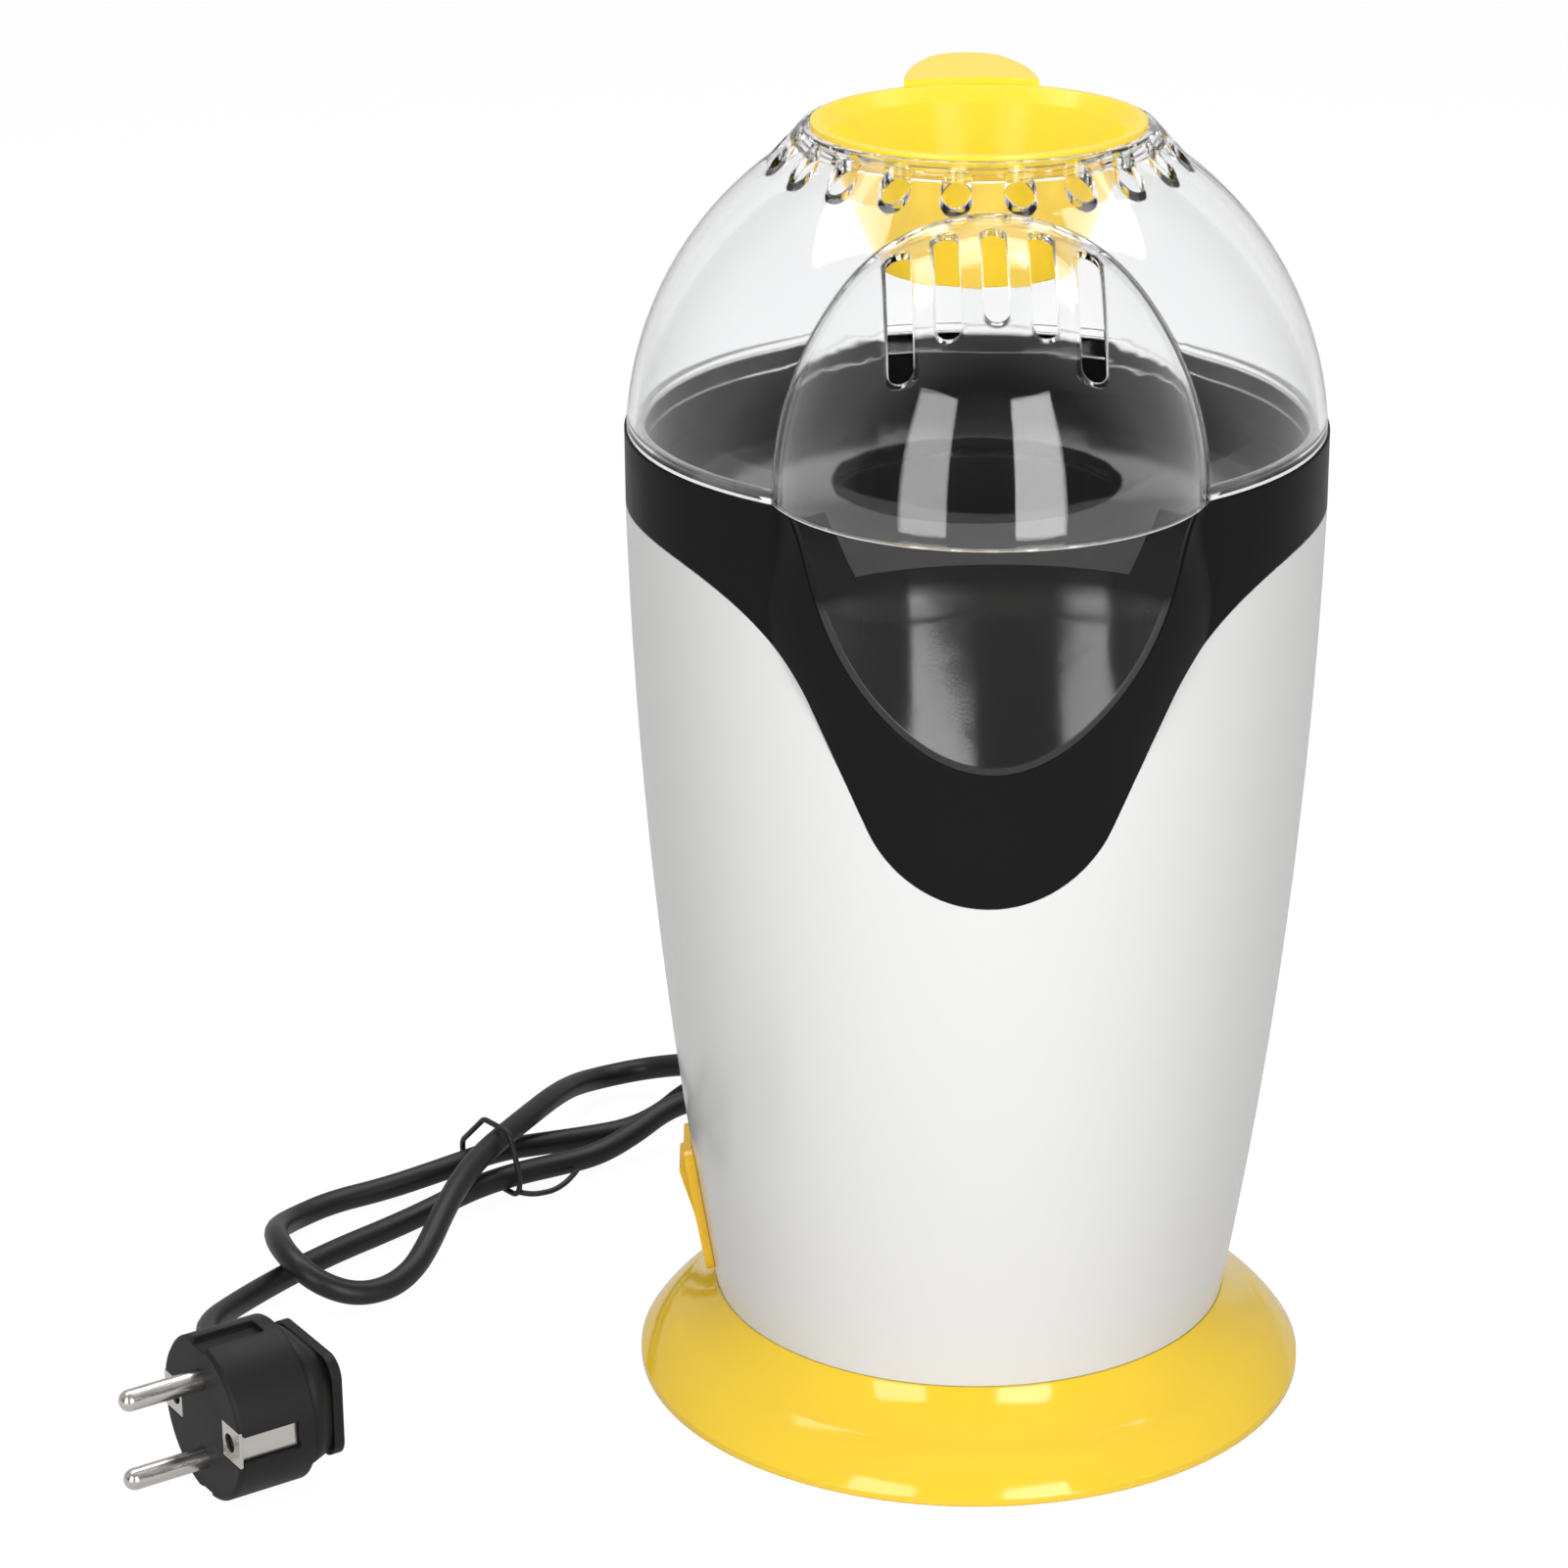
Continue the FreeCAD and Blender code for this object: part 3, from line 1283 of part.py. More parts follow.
def measuring_cup():
    """Tapered cup whose rim sits in the lid's neck, with a finger tab at the back."""
    seat = neck_top - D.neck_step + D.lift_gap
    foot = neck_top - D.cup_depth
    top = neck_top + D.cup_stand
    cup_foot = cup_neck - D.cup_taper
    cup = Moulding("measuring_cup")
    cup.turn([
        (0, foot),
        (cup_foot, foot),
        (cup_neck, seat),
        (cup_rim, seat),
        (cup_rim, top),
        (cup_rim - D.cup_wall, top),
        (cup_neck - D.cup_wall, seat),
        (cup_foot - D.cup_wall, foot + D.cup_wall),
        (0, foot + D.cup_wall),
    ])
    inner = cup_rim - D.cup_wall / 2
    y_low = root(inner * inner - D.tab_half_width * D.tab_half_width)
    y_tip = cup_rim + D.tab_length
    tab = cup.outline("XY_Plane", [
        (-D.tab_half_width, y_low, inner, RIGHT),
        (D.tab_half_width, y_low, D.tab_flank, LEFT),
        (D.tab_tip_half, y_tip, D.tab_tip_radius, LEFT),
        (-D.tab_tip_half, y_tip, D.tab_flank, LEFT),
    ], neck_top + D.tab_lift)
    cup.extrude(tab, D.tab_thickness)
    return piece("measuring_cup", cup.body)


def gland_reach():
    """Distance of the barrel's outer face from the axis at the gland."""
    return shell_radius_at(D.gland_height)


def cord_gland():
    """Strain relief: an inner flange, the neck in the wall, an outer flange and a tapered sleeve."""
    outside = gland_reach()
    back = Rotation(X_AXIS, -90)
    thick = D.shell_wall
    lip = cylinder(D.gland_flange, 2 * thick, y=outside - thick, z=D.gland_height, turn=back)
    sleeve = cone(D.gland_radius, D.cord_radius + D.seat_gap, D.gland_length,
                  y=outside, z=D.gland_height, turn=back)
    outer = cut(fuse(lip, sleeve), barrel(-D.running_gap))
    washer = cylinder(D.gland_flange, 3 * thick, y=outside - 3 * thick, z=D.gland_height, turn=back)
    inner = common(washer, barrel(D.shell_wall + D.running_gap))
    neck = cylinder(D.gland_radius, 3 * thick, y=outside - 2 * thick, z=D.gland_height, turn=back)
    return piece("cord_gland", fuse(inner, neck, outer))


def plug_place():
    """Placement of the plug's own frame, whose +X points along the pins."""
    return Placement(Vector(*PLUG_FACE), Rotation(Z_AXIS, PLUG_HEADING))


def sleeve_start():
    """Point on the plug's axis where its sleeve starts, in the plug's frame."""
    return Vector(-PLUG_AXIS_DEPTH, 0, 0)


def sleeve_end():
    """Point where the lead enters the plug's sleeve, in the part's frame."""
    return plug_place().multVec(sleeve_start() + Vector(*PLUG_EXIT) * D.plug_sleeve_length.value)


def cord_points():
    """Whole route of the lead, from the gland's end to the plug's sleeve."""
    start = gland_reach().value + D.gland_length.value
    first = Vector(0, start, D.gland_height.value)
    return [first] + [Vector(*spot) for spot in CORD_ROUTE] + [sleeve_end()]


def cord_path(points):
    """Straight runs joined by the largest tangent arcs that their lengths allow."""
    edges, radii = [], []
    last = points[0]
    for before, here, after in zip(points, points[1:], points[2:]):
        back, ahead = before - here, after - here
        short = min(back.Length, ahead.Length)
        turn = math.pi - back.getAngle(ahead)
        tangent = CORD_ARC_SHARE * short
        radii.append(tangent / math.tan(turn / 2))
        start = here + back.normalize() * tangent
        end = here + ahead.normalize() * tangent
        inward = (back + ahead).normalize()
        middle_depth = radii[-1] / math.cos(turn / 2) - radii[-1]
        edges.append(Part.LineSegment(last, start).toShape())
        edges.append(Part.Arc(start, here + inward * middle_depth, end).toShape())
        last = end
    edges.append(Part.LineSegment(last, points[-1]).toShape())
    return Part.Wire(edges), radii


def cord():
    """Mains lead as one tube along its route."""
    points = cord_points()
    path, radii = cord_path(points)
    ring = Part.Wire(Part.Circle(points[0], points[1] - points[0], D.cord_radius.value).toShape())
    feature = doc.addObject("Part::Feature", "cord")
    feature.Shape = path.makePipeShell([ring], True, False)
    wanted = math.pi * D.cord_radius.value ** 2 * path.Length
    print("lead length", round(path.Length, 1), "radii", [round(radius, 1) for radius in radii])
    print("lead volume over section times length", round(feature.Shape.Volume / wanted, 5))
    return piece("cord", feature)


def cord_tie():
    """Wire tie looped round the three strands."""
    corners = [Vector(x, 0, z) for x, z in TIE_CORNERS]
    count = len(corners)
    arcs = []
    for number, here in enumerate(corners):
        back = (corners[number - 1] - here).normalize()
        ahead = (corners[(number + 1) % count] - here).normalize()
        turn = math.pi - back.getAngle(ahead)
        tangent = TIE_BEND * math.tan(turn / 2)
        middle = here + (back + ahead).normalize() * (TIE_BEND / math.cos(turn / 2) - TIE_BEND)
        arcs.append((here + back * tangent, middle, here + ahead * tangent))
    edges = []
    for number, (start, middle, end) in enumerate(arcs):
        edges.append(Part.Arc(start, middle, end).toShape())
        edges.append(Part.LineSegment(end, arcs[(number + 1) % count][0]).toShape())
    end = arcs[0][2]
    ring = Part.Wire(Part.Circle(end, arcs[1][0] - end, D.tie_wire.value).toShape())
    path = Part.Wire(edges[1:] + edges[:1])
    feature = doc.addObject("Part::Feature", "cord_tie")
    feature.Shape = path.makePipeShell([ring], True, False)
    feature.Placement = Placement(Vector(*TIE_CENTRE, 0), Rotation(Z_AXIS, TIE_HEADING - 90))
    return piece("cord_tie", feature)


def plug_body():
    """Angled plug: round front with grooves and notches, a waisted grip and a ribbed sleeve."""
    radius, depth, waist = D.plug_radius.value, D.plug_depth.value, D.plug_waist.value
    taper, flange = D.plug_taper.value, D.plug_flange.value
    wide, gap, clip = D.clip_width.value, D.seat_gap.value, D.clip_thickness.value
    front = Part.makeCylinder(radius, depth - clip, Vector(-depth, 0, 0), X_AXIS)
    nose = Part.makeCone(radius, radius - clip, clip, Vector(-clip, 0, 0), X_AXIS)
    grip = Part.makeCone(waist, radius - 2 * clip, taper, Vector(-depth - taper, 0, 0), X_AXIS)
    corner = Vector(-depth - taper - flange, -0.75 * radius, -0.65 * radius)
    back = Part.makeBox(flange, 1.5 * radius, 1.3 * radius, corner)
    back = back.makeFillet(flange * 2, [edge for edge in back.Edges if abs(edge.Length - flange) < 1e-6])
    way = Vector(*PLUG_EXIT)
    length = D.plug_sleeve_length.value
    thick, thin = radius * 0.36, D.cord_radius.value + gap
    sleeve = [Part.makeCone(thick, thin, length, sleeve_start(), way)]
    for along in SLEEVE_RIBS:
        rib = thick + (thin - thick) * along / length + clip
        sleeve.append(Part.makeCylinder(rib, 2 * clip, sleeve_start() + way * along, way))
    body = front.multiFuse([nose, grip, back] + sleeve).removeSplitter()
    for side in (-1, 1):
        low = radius - 3 * clip - gap
        groove = Part.makeBox(depth, 2 * radius, wide + 2 * gap, Vector(-0.8 * depth, low, -wide / 2 - gap))
        recess = Part.makeBox(depth, 2 * radius, wide * 1.4 + 2 * gap,
                              Vector(-clip - gap, radius * 0.52, -wide * 0.7 - gap))
        notch = Part.makeBox(depth, wide, radius, Vector(-0.8 * depth, -wide / 2, radius - 2 * clip))
        for tool in (groove, recess):
            if side < 0:
                tool.rotate(Vector(), X_AXIS, 180)
            body = body.cut(tool)
        if side < 0:
            notch.rotate(Vector(), X_AXIS, 180)
        body = body.cut(notch)
        bore = Part.makeCylinder(D.plug_pin_radius.value + D.running_gap.value, depth / 3,
                                 Vector(-depth / 3, 0, side * D.plug_pin_spacing.value / 2), X_AXIS)
        body = body.cut(bore)
    feature = doc.addObject("Part::Feature", "plug_body")
    feature.Shape = body
    feature.Placement = plug_place()
    return piece("plug_body", feature)


def plug_pins():
    """Two round pins with rounded tips, set into the plug's face."""
    radius = D.plug_pin_radius.value
    pins = []
    for side in (-1, 1):
        height = side * D.plug_pin_spacing.value / 2
        root_depth = D.plug_depth.value / 3
        straight = root_depth + D.plug_pin_length.value - radius
        bar = Part.makeCylinder(radius, straight, Vector(-root_depth, 0, height), X_AXIS)
        tip = Part.makeSphere(radius, Vector(straight - root_depth, 0, height))
        pin = bar.fuse(tip).removeSplitter()
        pin.Placement = plug_place().multiply(pin.Placement)
        pins.append(pin)
    return group("plug_pins", pins)


def plug_earth_clips():
    """Earth contacts: a strip in each side groove, bent over the face into a pierced plate."""
    radius, depth = D.plug_radius.value, D.plug_depth.value
    wide, thick, gap = D.clip_width.value, D.clip_thickness.value, D.seat_gap.value
    clips = []
    for side in (-1, 1):
        strip = Part.makeBox(0.78 * depth, thick, wide, Vector(-0.79 * depth, radius - 3 * thick, -wide / 2))
        low = radius * 0.52 + gap
        plate = Part.makeBox(thick, radius - thick - low, wide * 1.4, Vector(-thick, low, -wide * 0.7))
        spot = Vector(-depth / 2, (radius - 3 * thick + low) / 2, 0)
        hole = Part.makeCylinder(wide * 0.36, depth, spot, X_AXIS)
        clip = strip.fuse(plate).removeSplitter().cut(hole)
        if side < 0:
            clip.rotate(Vector(), X_AXIS, 180)
        clip.Placement = plug_place().multiply(clip.Placement)
        clips.append(clip)
    return group("plug_earth_clips", clips)


def build():
    """Make every piece."""
    makers = (
        base_ring, base_plate, rubber_feet, base_screws, body_shell, collar, deck_chute,
        popping_chamber, chamber_seal, heat_shield, mica_frame, heater_coil, fan_housing,
        motor_can, motor_end_cap, motor_terminals, motor_screws, rectifier_board,
        motor_shaft, fan_impeller, fan_cap, thermostat, thermal_fuse, switch_bezel,
        switch_rocker, switch_terminals, lid, measuring_cup, cord_gland, cord, cord_tie,
        plug_body, plug_pins, plug_earth_clips,
    )
    for maker in makers:
        maker()
    doc.recompute()


def check():
    """Stop if any object failed or any piece has no valid solid."""
    for thing in doc.Objects:
        if {"Invalid", "Error"} & set(thing.State):
            raise RuntimeError(f"{thing.Name} ({thing.Label}) failed: {thing.State}")
    for thing in pieces:
        if thing.Shape.isNull() or not thing.Shape.isValid() or not thing.Shape.Solids:
            raise RuntimeError(f"{thing.Label} has no valid solid")


def export():
    """Write each piece to its own file."""
    os.makedirs("parts", exist_ok=True)
    for thing in pieces:
        thing.Shape.exportStep(f"parts/{thing.Label}.step")
        print(thing.Label, len(thing.Shape.Solids), round(thing.Shape.Volume, 1))


build()
check()
export()
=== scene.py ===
"""Studio scene of a hot-air popcorn maker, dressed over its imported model.

The scene keeps the model's frame: metres, +Z up, the spout facing -Y, the origin on the machine's
axis at table height.
"""
from __future__ import annotations

import logging
import math
from dataclasses import dataclass, field
from enum import Enum, IntEnum

import bpy
from mathutils import Matrix, Vector

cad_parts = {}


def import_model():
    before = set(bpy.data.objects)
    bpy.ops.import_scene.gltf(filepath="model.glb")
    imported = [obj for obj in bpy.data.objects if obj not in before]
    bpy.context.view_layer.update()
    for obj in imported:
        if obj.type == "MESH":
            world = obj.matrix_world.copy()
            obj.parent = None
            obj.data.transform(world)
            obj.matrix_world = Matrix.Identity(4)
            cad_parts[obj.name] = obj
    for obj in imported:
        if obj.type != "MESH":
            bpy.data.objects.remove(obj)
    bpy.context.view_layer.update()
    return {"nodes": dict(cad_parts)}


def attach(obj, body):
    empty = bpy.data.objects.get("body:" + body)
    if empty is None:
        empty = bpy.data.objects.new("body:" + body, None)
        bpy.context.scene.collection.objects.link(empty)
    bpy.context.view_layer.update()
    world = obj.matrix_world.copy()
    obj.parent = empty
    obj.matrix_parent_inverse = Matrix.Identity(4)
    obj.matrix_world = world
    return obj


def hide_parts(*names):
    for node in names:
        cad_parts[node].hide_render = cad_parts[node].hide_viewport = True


LOG = logging.getLogger("popcorn_maker")
PHOTO_PIXELS = 1601
HOUSING = "housing"

Colour = tuple[float, float, float]
Point = tuple[float, float, float]
Span = tuple[float, float]
Socket = bpy.types.NodeSocket
Tree = bpy.types.NodeTree

WHITE = (1.0, 1.0, 1.0, 1.0)
EVEN: Point = (1.0, 1.0, 1.0)
WHOLE: Span = (0.0, 1.0)
NOISE_SPAN: Span = (0.3, 0.7)
BEVEL_SAMPLES = 4


class Sum(Enum):
    """Ways in which a math node joins two values."""

    PRODUCT = "MULTIPLY"
    LARGER = "MAXIMUM"


class Detail(float, Enum):
    """Octaves of finer noise in a texture."""

    SOFT = 2.0
    MARKED = 3.0
    PATCHY = 4.0


class MixIn(IntEnum):
    """Places of the mix node's inputs, whose names repeat."""

    SHARE = 0
    FIRST_VALUE = 2
    SECOND_VALUE = 3
    FIRST_COLOUR = 6
    SECOND_COLOUR = 7


class MixOut(IntEnum):
    """Places of the mix node's outputs, whose names repeat."""

    VALUE = 0
    COLOUR = 2


def linear(red: int, green: int, blue: int) -> Colour:
    """Turn a display colour into scene-linear values.

    Args:
        red: Red from 0 to 255.
        green: Green from 0 to 255.
        blue: Blue from 0 to 255.

    Returns:
        The linear colour.
    """
    def channel(value: int) -> float:
        """Linear value of one channel, by the standard display curve."""
        share = value / 255
        return share / 12.92 if share <= 0.04045 else ((share + 0.055) / 1.055) ** 2.4

    return channel(red), channel(green), channel(blue)


def join(tree: Tree, way: Sum, first: Socket, second: Socket | float) -> Socket:
    """Join two values by a math node.

    Args:
        tree: Node tree that the node is added to.
        way: How the values are joined.
        first: First value.
        second: Second value, or a number.

    Returns:
        The result.
    """
    node = tree.nodes.new("ShaderNodeMath")
    node.operation = way.value
    tree.links.new(first, node.inputs[0])
    if isinstance(second, float):
        node.inputs[1].default_value = second
    else:
        tree.links.new(second, node.inputs[1])
    return node.outputs[0]


def ramp(tree: Tree, value: Socket, source: Span, result: Span) -> Socket:
    """Map a value from one span onto another, and hold it at the ends.

    Args:
        tree: Node tree that the node is added to.
        value: What is mapped.
        source: Values at the ramp's start and end.
        result: What they are mapped to.

    Returns:
        The mapped value.
    """
    node = tree.nodes.new("ShaderNodeMapRange")
    for name, number in zip(("From Min", "From Max", "To Min", "To Max"), source + result):
        node.inputs[name].default_value = number
    tree.links.new(value, node.inputs["Value"])
    return node.outputs["Result"]


@dataclass(frozen=True)
class ShadeZone:
    """Part of a piece whose specular level is turned down, a painted shade that darkens it.

    Attributes:
        depth: Ramp along Y, from outside the zone to inside.
        height: Ramp along Z, from outside the zone to inside.
        specular: Specular level inside.
    """

    depth: Span
    height: Span
    specular: float


class Graph:
    """Node tree of one finish, with short calls to add and join nodes."""

    def __init__(self, name: str) -> None:
        """Start a material with a shader joined to its output.

        Args:
            name: Name of the material.
        """
        self.material = bpy.data.materials.new(name)
        self.material.use_nodes = True
        self.tree = self.material.node_tree
        self.tree.nodes.clear()
        self.output = self.tree.nodes.new("ShaderNodeOutputMaterial")
        self.shader = self.tree.nodes.new("ShaderNodeBsdfPrincipled")
        self.tree.links.new(self.shader.outputs["BSDF"], self.output.inputs["Surface"])
        self.place = self.tree.nodes.new("ShaderNodeTexCoord").outputs["Object"]

    def constant(self, **values: float | Colour) -> None:
        """Set the shader's sockets that are the same all over.

        Args:
            values: Socket names, with underscores for spaces, and their values.
        """
        for name, value in values.items():
            socket = self.shader.inputs[name.replace("_", " ")]
            socket.default_value = (*value, 1.0) if socket.type == "RGBA" else value

    def feed(self, socket: Socket, name: str) -> None:
        """Join an output to one of the shader's sockets.

        Args:
            socket: The output.
            name: Name of the shader's socket.
        """
        self.tree.links.new(socket, self.shader.inputs[name])

    def stretched(self, scale: Point) -> Socket:
        """Give the object's coordinates stretched along the axes.

        Args:
            scale: Factor for each axis.

        Returns:
            The stretched coordinates.
        """
        mapping = self.tree.nodes.new("ShaderNodeMapping")
        mapping.inputs["Scale"].default_value = scale
        self.tree.links.new(self.place, mapping.inputs["Vector"])
        return mapping.outputs["Vector"]

    def noise(self, scale: float, detail: Detail, stretch: Point = EVEN) -> Socket:
        """Add a noise texture in the object's coordinates.

        Args:
            scale: Cells for each metre.
            detail: Octaves of finer noise.
            stretch: Factor for each axis.

        Returns:
            The noise value, about 0.5 on average.
        """
        texture = self.tree.nodes.new("ShaderNodeTexNoise")
        texture.inputs["Scale"].default_value = scale
        texture.inputs["Detail"].default_value = detail.value
        source = self.place if stretch == EVEN else self.stretched(stretch)
        self.tree.links.new(source, texture.inputs["Vector"])
        return texture.outputs["Fac"]

    def vary(self, noise: Socket, low: float, high: float) -> Socket:
        """Spread a noise value over a span.

        Args:
            noise: The noise value.
            low: Result in the noise's low places.
            high: Result in its high places.

        Returns:
            The varied value.
        """
        return ramp(self.tree, noise, NOISE_SPAN, (low, high))

    def within(self, zone: ShadeZone) -> Socket:
        """Say how far a point lies inside a zone.

        Args:
            zone: The zone in the object's coordinates.

        Returns:
            0 outside and 1 inside, with a short ramp between.
        """
        parts = self.tree.nodes.new("ShaderNodeSeparateXYZ")
        self.tree.links.new(self.place, parts.inputs["Vector"])
        forward = ramp(self.tree, parts.outputs["Y"], zone.depth, WHOLE)
        upward = ramp(self.tree, parts.outputs["Z"], zone.height, WHOLE)
        return join(self.tree, Sum.PRODUCT, forward, upward)

    def mix(self, share: Socket, first: Colour, second: Colour) -> Socket:
        """Mix two colours.

        Args:
            share: How much of the second colour.
            first: Colour at 0.
            second: Colour at 1.

        Returns:
            The mixed colour.
        """
        node = self.tree.nodes.new("ShaderNodeMix")
        node.data_type = "RGBA"
        node.inputs[MixIn.FIRST_COLOUR].default_value = (*first, 1.0)
        node.inputs[MixIn.SECOND_COLOUR].default_value = (*second, 1.0)
        self.tree.links.new(share, node.inputs[MixIn.SHARE])
        return node.outputs[MixOut.COLOUR]

    def rounded(self, radius: float) -> Socket:
        """Give a normal that is rounded over sharp edges.

        Args:
            radius: Radius of the rounding in metres.

        Returns:
            The normal.
        """
        node = self.tree.nodes.new("ShaderNodeBevel")
        node.samples = BEVEL_SAMPLES
        node.inputs["Radius"].default_value = radius
        return node.outputs["Normal"]

    def relief(self, height: Socket, depth: float, strength: float, normal: Socket) -> Socket:
        """Give a normal with fine relief.

        Args:
            height: Height from 0 to 1.
            depth: Depth of the relief in metres.
            strength: Strength of the effect.
            normal: Normal that the relief is laid on.

        Returns:
            The normal.
        """
        node = self.tree.nodes.new("ShaderNodeBump")
        node.inputs["Strength"].default_value = strength
        node.inputs["Distance"].default_value = depth
        self.tree.links.new(height, node.inputs["Height"])
        self.tree.links.new(normal, node.inputs["Normal"])
        return node.outputs["Normal"]


@dataclass(frozen=True)
class Moulded:
    """Moulded plastic, rubber or paint: a colour with slight mottle, a grain and rounded edges.

    Attributes:
        name: Name of the finish.
        colour: Linear colour.
        roughness: Roughness on average.
        swing: How far the roughness varies either way.
        mottle: How much darker the mottle's dark places are.
        mottle_cells: Cells of the mottle for each metre.
        patch_cells: Cells of the roughness for each metre.
        grain: Cells of the grain for each metre.
        grain_depth: Depth of the grain in metres.
        grain_strength: Strength of the grain.
        edge: Radius of the rounding over sharp edges.
        specular: Specular level.
        coat: Weight of a clear coat.
        glow: Share of light that passes through the plastic.
        glow_depth: How deep that light goes, in metres.
        painted_glow: Strength of a painted glow, an emission in the plastic's own colour that stands in for
            light which a thin wall lets through from behind.
        shade_zone: Part of the piece whose specular level drops, a painted shade that darkens it.
    """

    name: str
    colour: Colour
    roughness: float
    swing: float = 0.04
    mottle: float = 0.05
    mottle_cells: float = 14.0
    patch_cells: float = 55.0
    grain: float = 900.0
    grain_depth: float = 0.00002
    grain_strength: float = 0.6
    edge: float = 0.0004
    specular: float = 0.5
    coat: float = 0.0
    glow: float = 0.0
    glow_depth: float = 0.004
    painted_glow: float = 0.0
    shade_zone: ShadeZone | None = None

    def make(self) -> bpy.types.Material:
        """Build the finish's material."""
        graph = Graph(self.name)
        dark = tuple(value * (1 - self.mottle) for value in self.colour)
        graph.feed(graph.mix(graph.noise(self.mottle_cells, Detail.MARKED), dark, self.colour), "Base Color")
        patches = graph.noise(self.patch_cells, Detail.PATCHY)
        graph.feed(graph.vary(patches, self.roughness - self.swing, self.roughness + self.swing), "Roughness")
        grain = graph.noise(self.grain, Detail.MARKED)
        edges = graph.rounded(self.edge)
        graph.feed(graph.relief(grain, self.grain_depth, self.grain_strength, edges), "Normal")
        graph.constant(Specular_IOR_Level=self.specular, Coat_Weight=self.coat)
        # Painted shade: inside the zone the specular level drops, so that part reflects little and looks
        # darker.
        if self.shade_zone:
            shine = ramp(graph.tree, graph.within(self.shade_zone), WHOLE, (self.specular, self.shade_zone.specular))
            graph.feed(shine, "Specular IOR Level")
        if self.glow:
            graph.constant(Subsurface_Weight=self.glow, Subsurface_Scale=self.glow_depth,
                           Subsurface_Radius=self.colour)
        # Painted glow: the plastic emits light in its own colour, standing in for light that comes through a
        # thin wall.
        if self.painted_glow:
            graph.constant(Emission_Color=self.colour, Emission_Strength=self.painted_glow)
        return graph.material


@dataclass(frozen=True)
class Clear:
    """Clear moulded plastic with faint flow marks.

    Attributes:
        name: Name of the finish.
        tint: Linear colour of the plastic.
        roughness: Roughness on average.
        swing: Share of the roughness by which it varies either way.
        patch_cells: Cells of the roughness for each metre.
        index: Refractive index.
        edge: Radius of the rounding over sharp edges.
        flow_cells: Cells of the flow marks for each metre.
        flow_stretch: Factor for each axis of the flow marks.
        flow_depth: Depth of the flow marks in metres.
        flow_strength: Strength of the flow marks.
    """

    name: str
    tint: Colour
    roughness: float = 0.02
    swing: float = 0.5
    patch_cells: float = 40.0
    index: float = 1.47
    edge: float = 0.0007
    flow_cells: float = 26.0
    flow_stretch: Point = (1.0, 1.0, 0.35)
    flow_depth: float = 0.0004
    flow_strength: float = 0.12

    def make(self) -> bpy.types.Material:
        """Build the finish's material."""
        graph = Graph(self.name)
        graph.constant(Base_Color=self.tint, Transmission_Weight=1.0, IOR=self.index)
        patches = graph.noise(self.patch_cells, Detail.PATCHY)
        low, high = self.roughness * (1 - self.swing), self.roughness * (1 + self.swing)
        graph.feed(graph.vary(patches, low, high), "Roughness")
        flow = graph.noise(self.flow_cells, Detail.SOFT, self.flow_stretch)
        edges = graph.rounded(self.edge)
        graph.feed(graph.relief(flow, self.flow_depth, self.flow_strength, edges), "Normal")
        return graph.material


@dataclass(frozen=True)
class Metal:
    """Plain, spun or plated metal with fine drawn marks.

    Attributes:
        name: Name of the finish.
        colour: Linear colour.
        roughness: Roughness on average.
        stretch: Factor for each axis of the marks.
        marks: Cells of the marks for each metre.
        mark_shade: Brightness of the marks' dark places.
        mark_roughness: Shares of the roughness in the marks' low and high places.
        mark_depth: Depth of the marks in metres.
        mark_strength: Strength of the marks.
        edge: Radius of the rounding over sharp edges.
    """

    name: str
    colour: Colour
    roughness: float
    stretch: Point = (1.0, 1.0, 12.0)
    marks: float = 240.0
    mark_shade: float = 0.86
    mark_roughness: Span = (0.75, 1.3)
    mark_depth: float = 0.00001
    mark_strength: float = 0.5
    edge: float = 0.0002

    def make(self) -> bpy.types.Material:
        """Build the finish's material."""
        graph = Graph(self.name)
        marks = graph.noise(self.marks, Detail.MARKED, self.stretch)
        dark = tuple(value * self.mark_shade for value in self.colour)
        graph.feed(graph.mix(marks, dark, self.colour), "Base Color")
        low, high = (self.roughness * share for share in self.mark_roughness)
        graph.feed(graph.vary(marks, low, high), "Roughness")
        edges = graph.rounded(self.edge)
        graph.feed(graph.relief(marks, self.mark_depth, self.mark_strength, edges), "Normal")
        graph.constant(Metallic=1.0)
        return graph.material


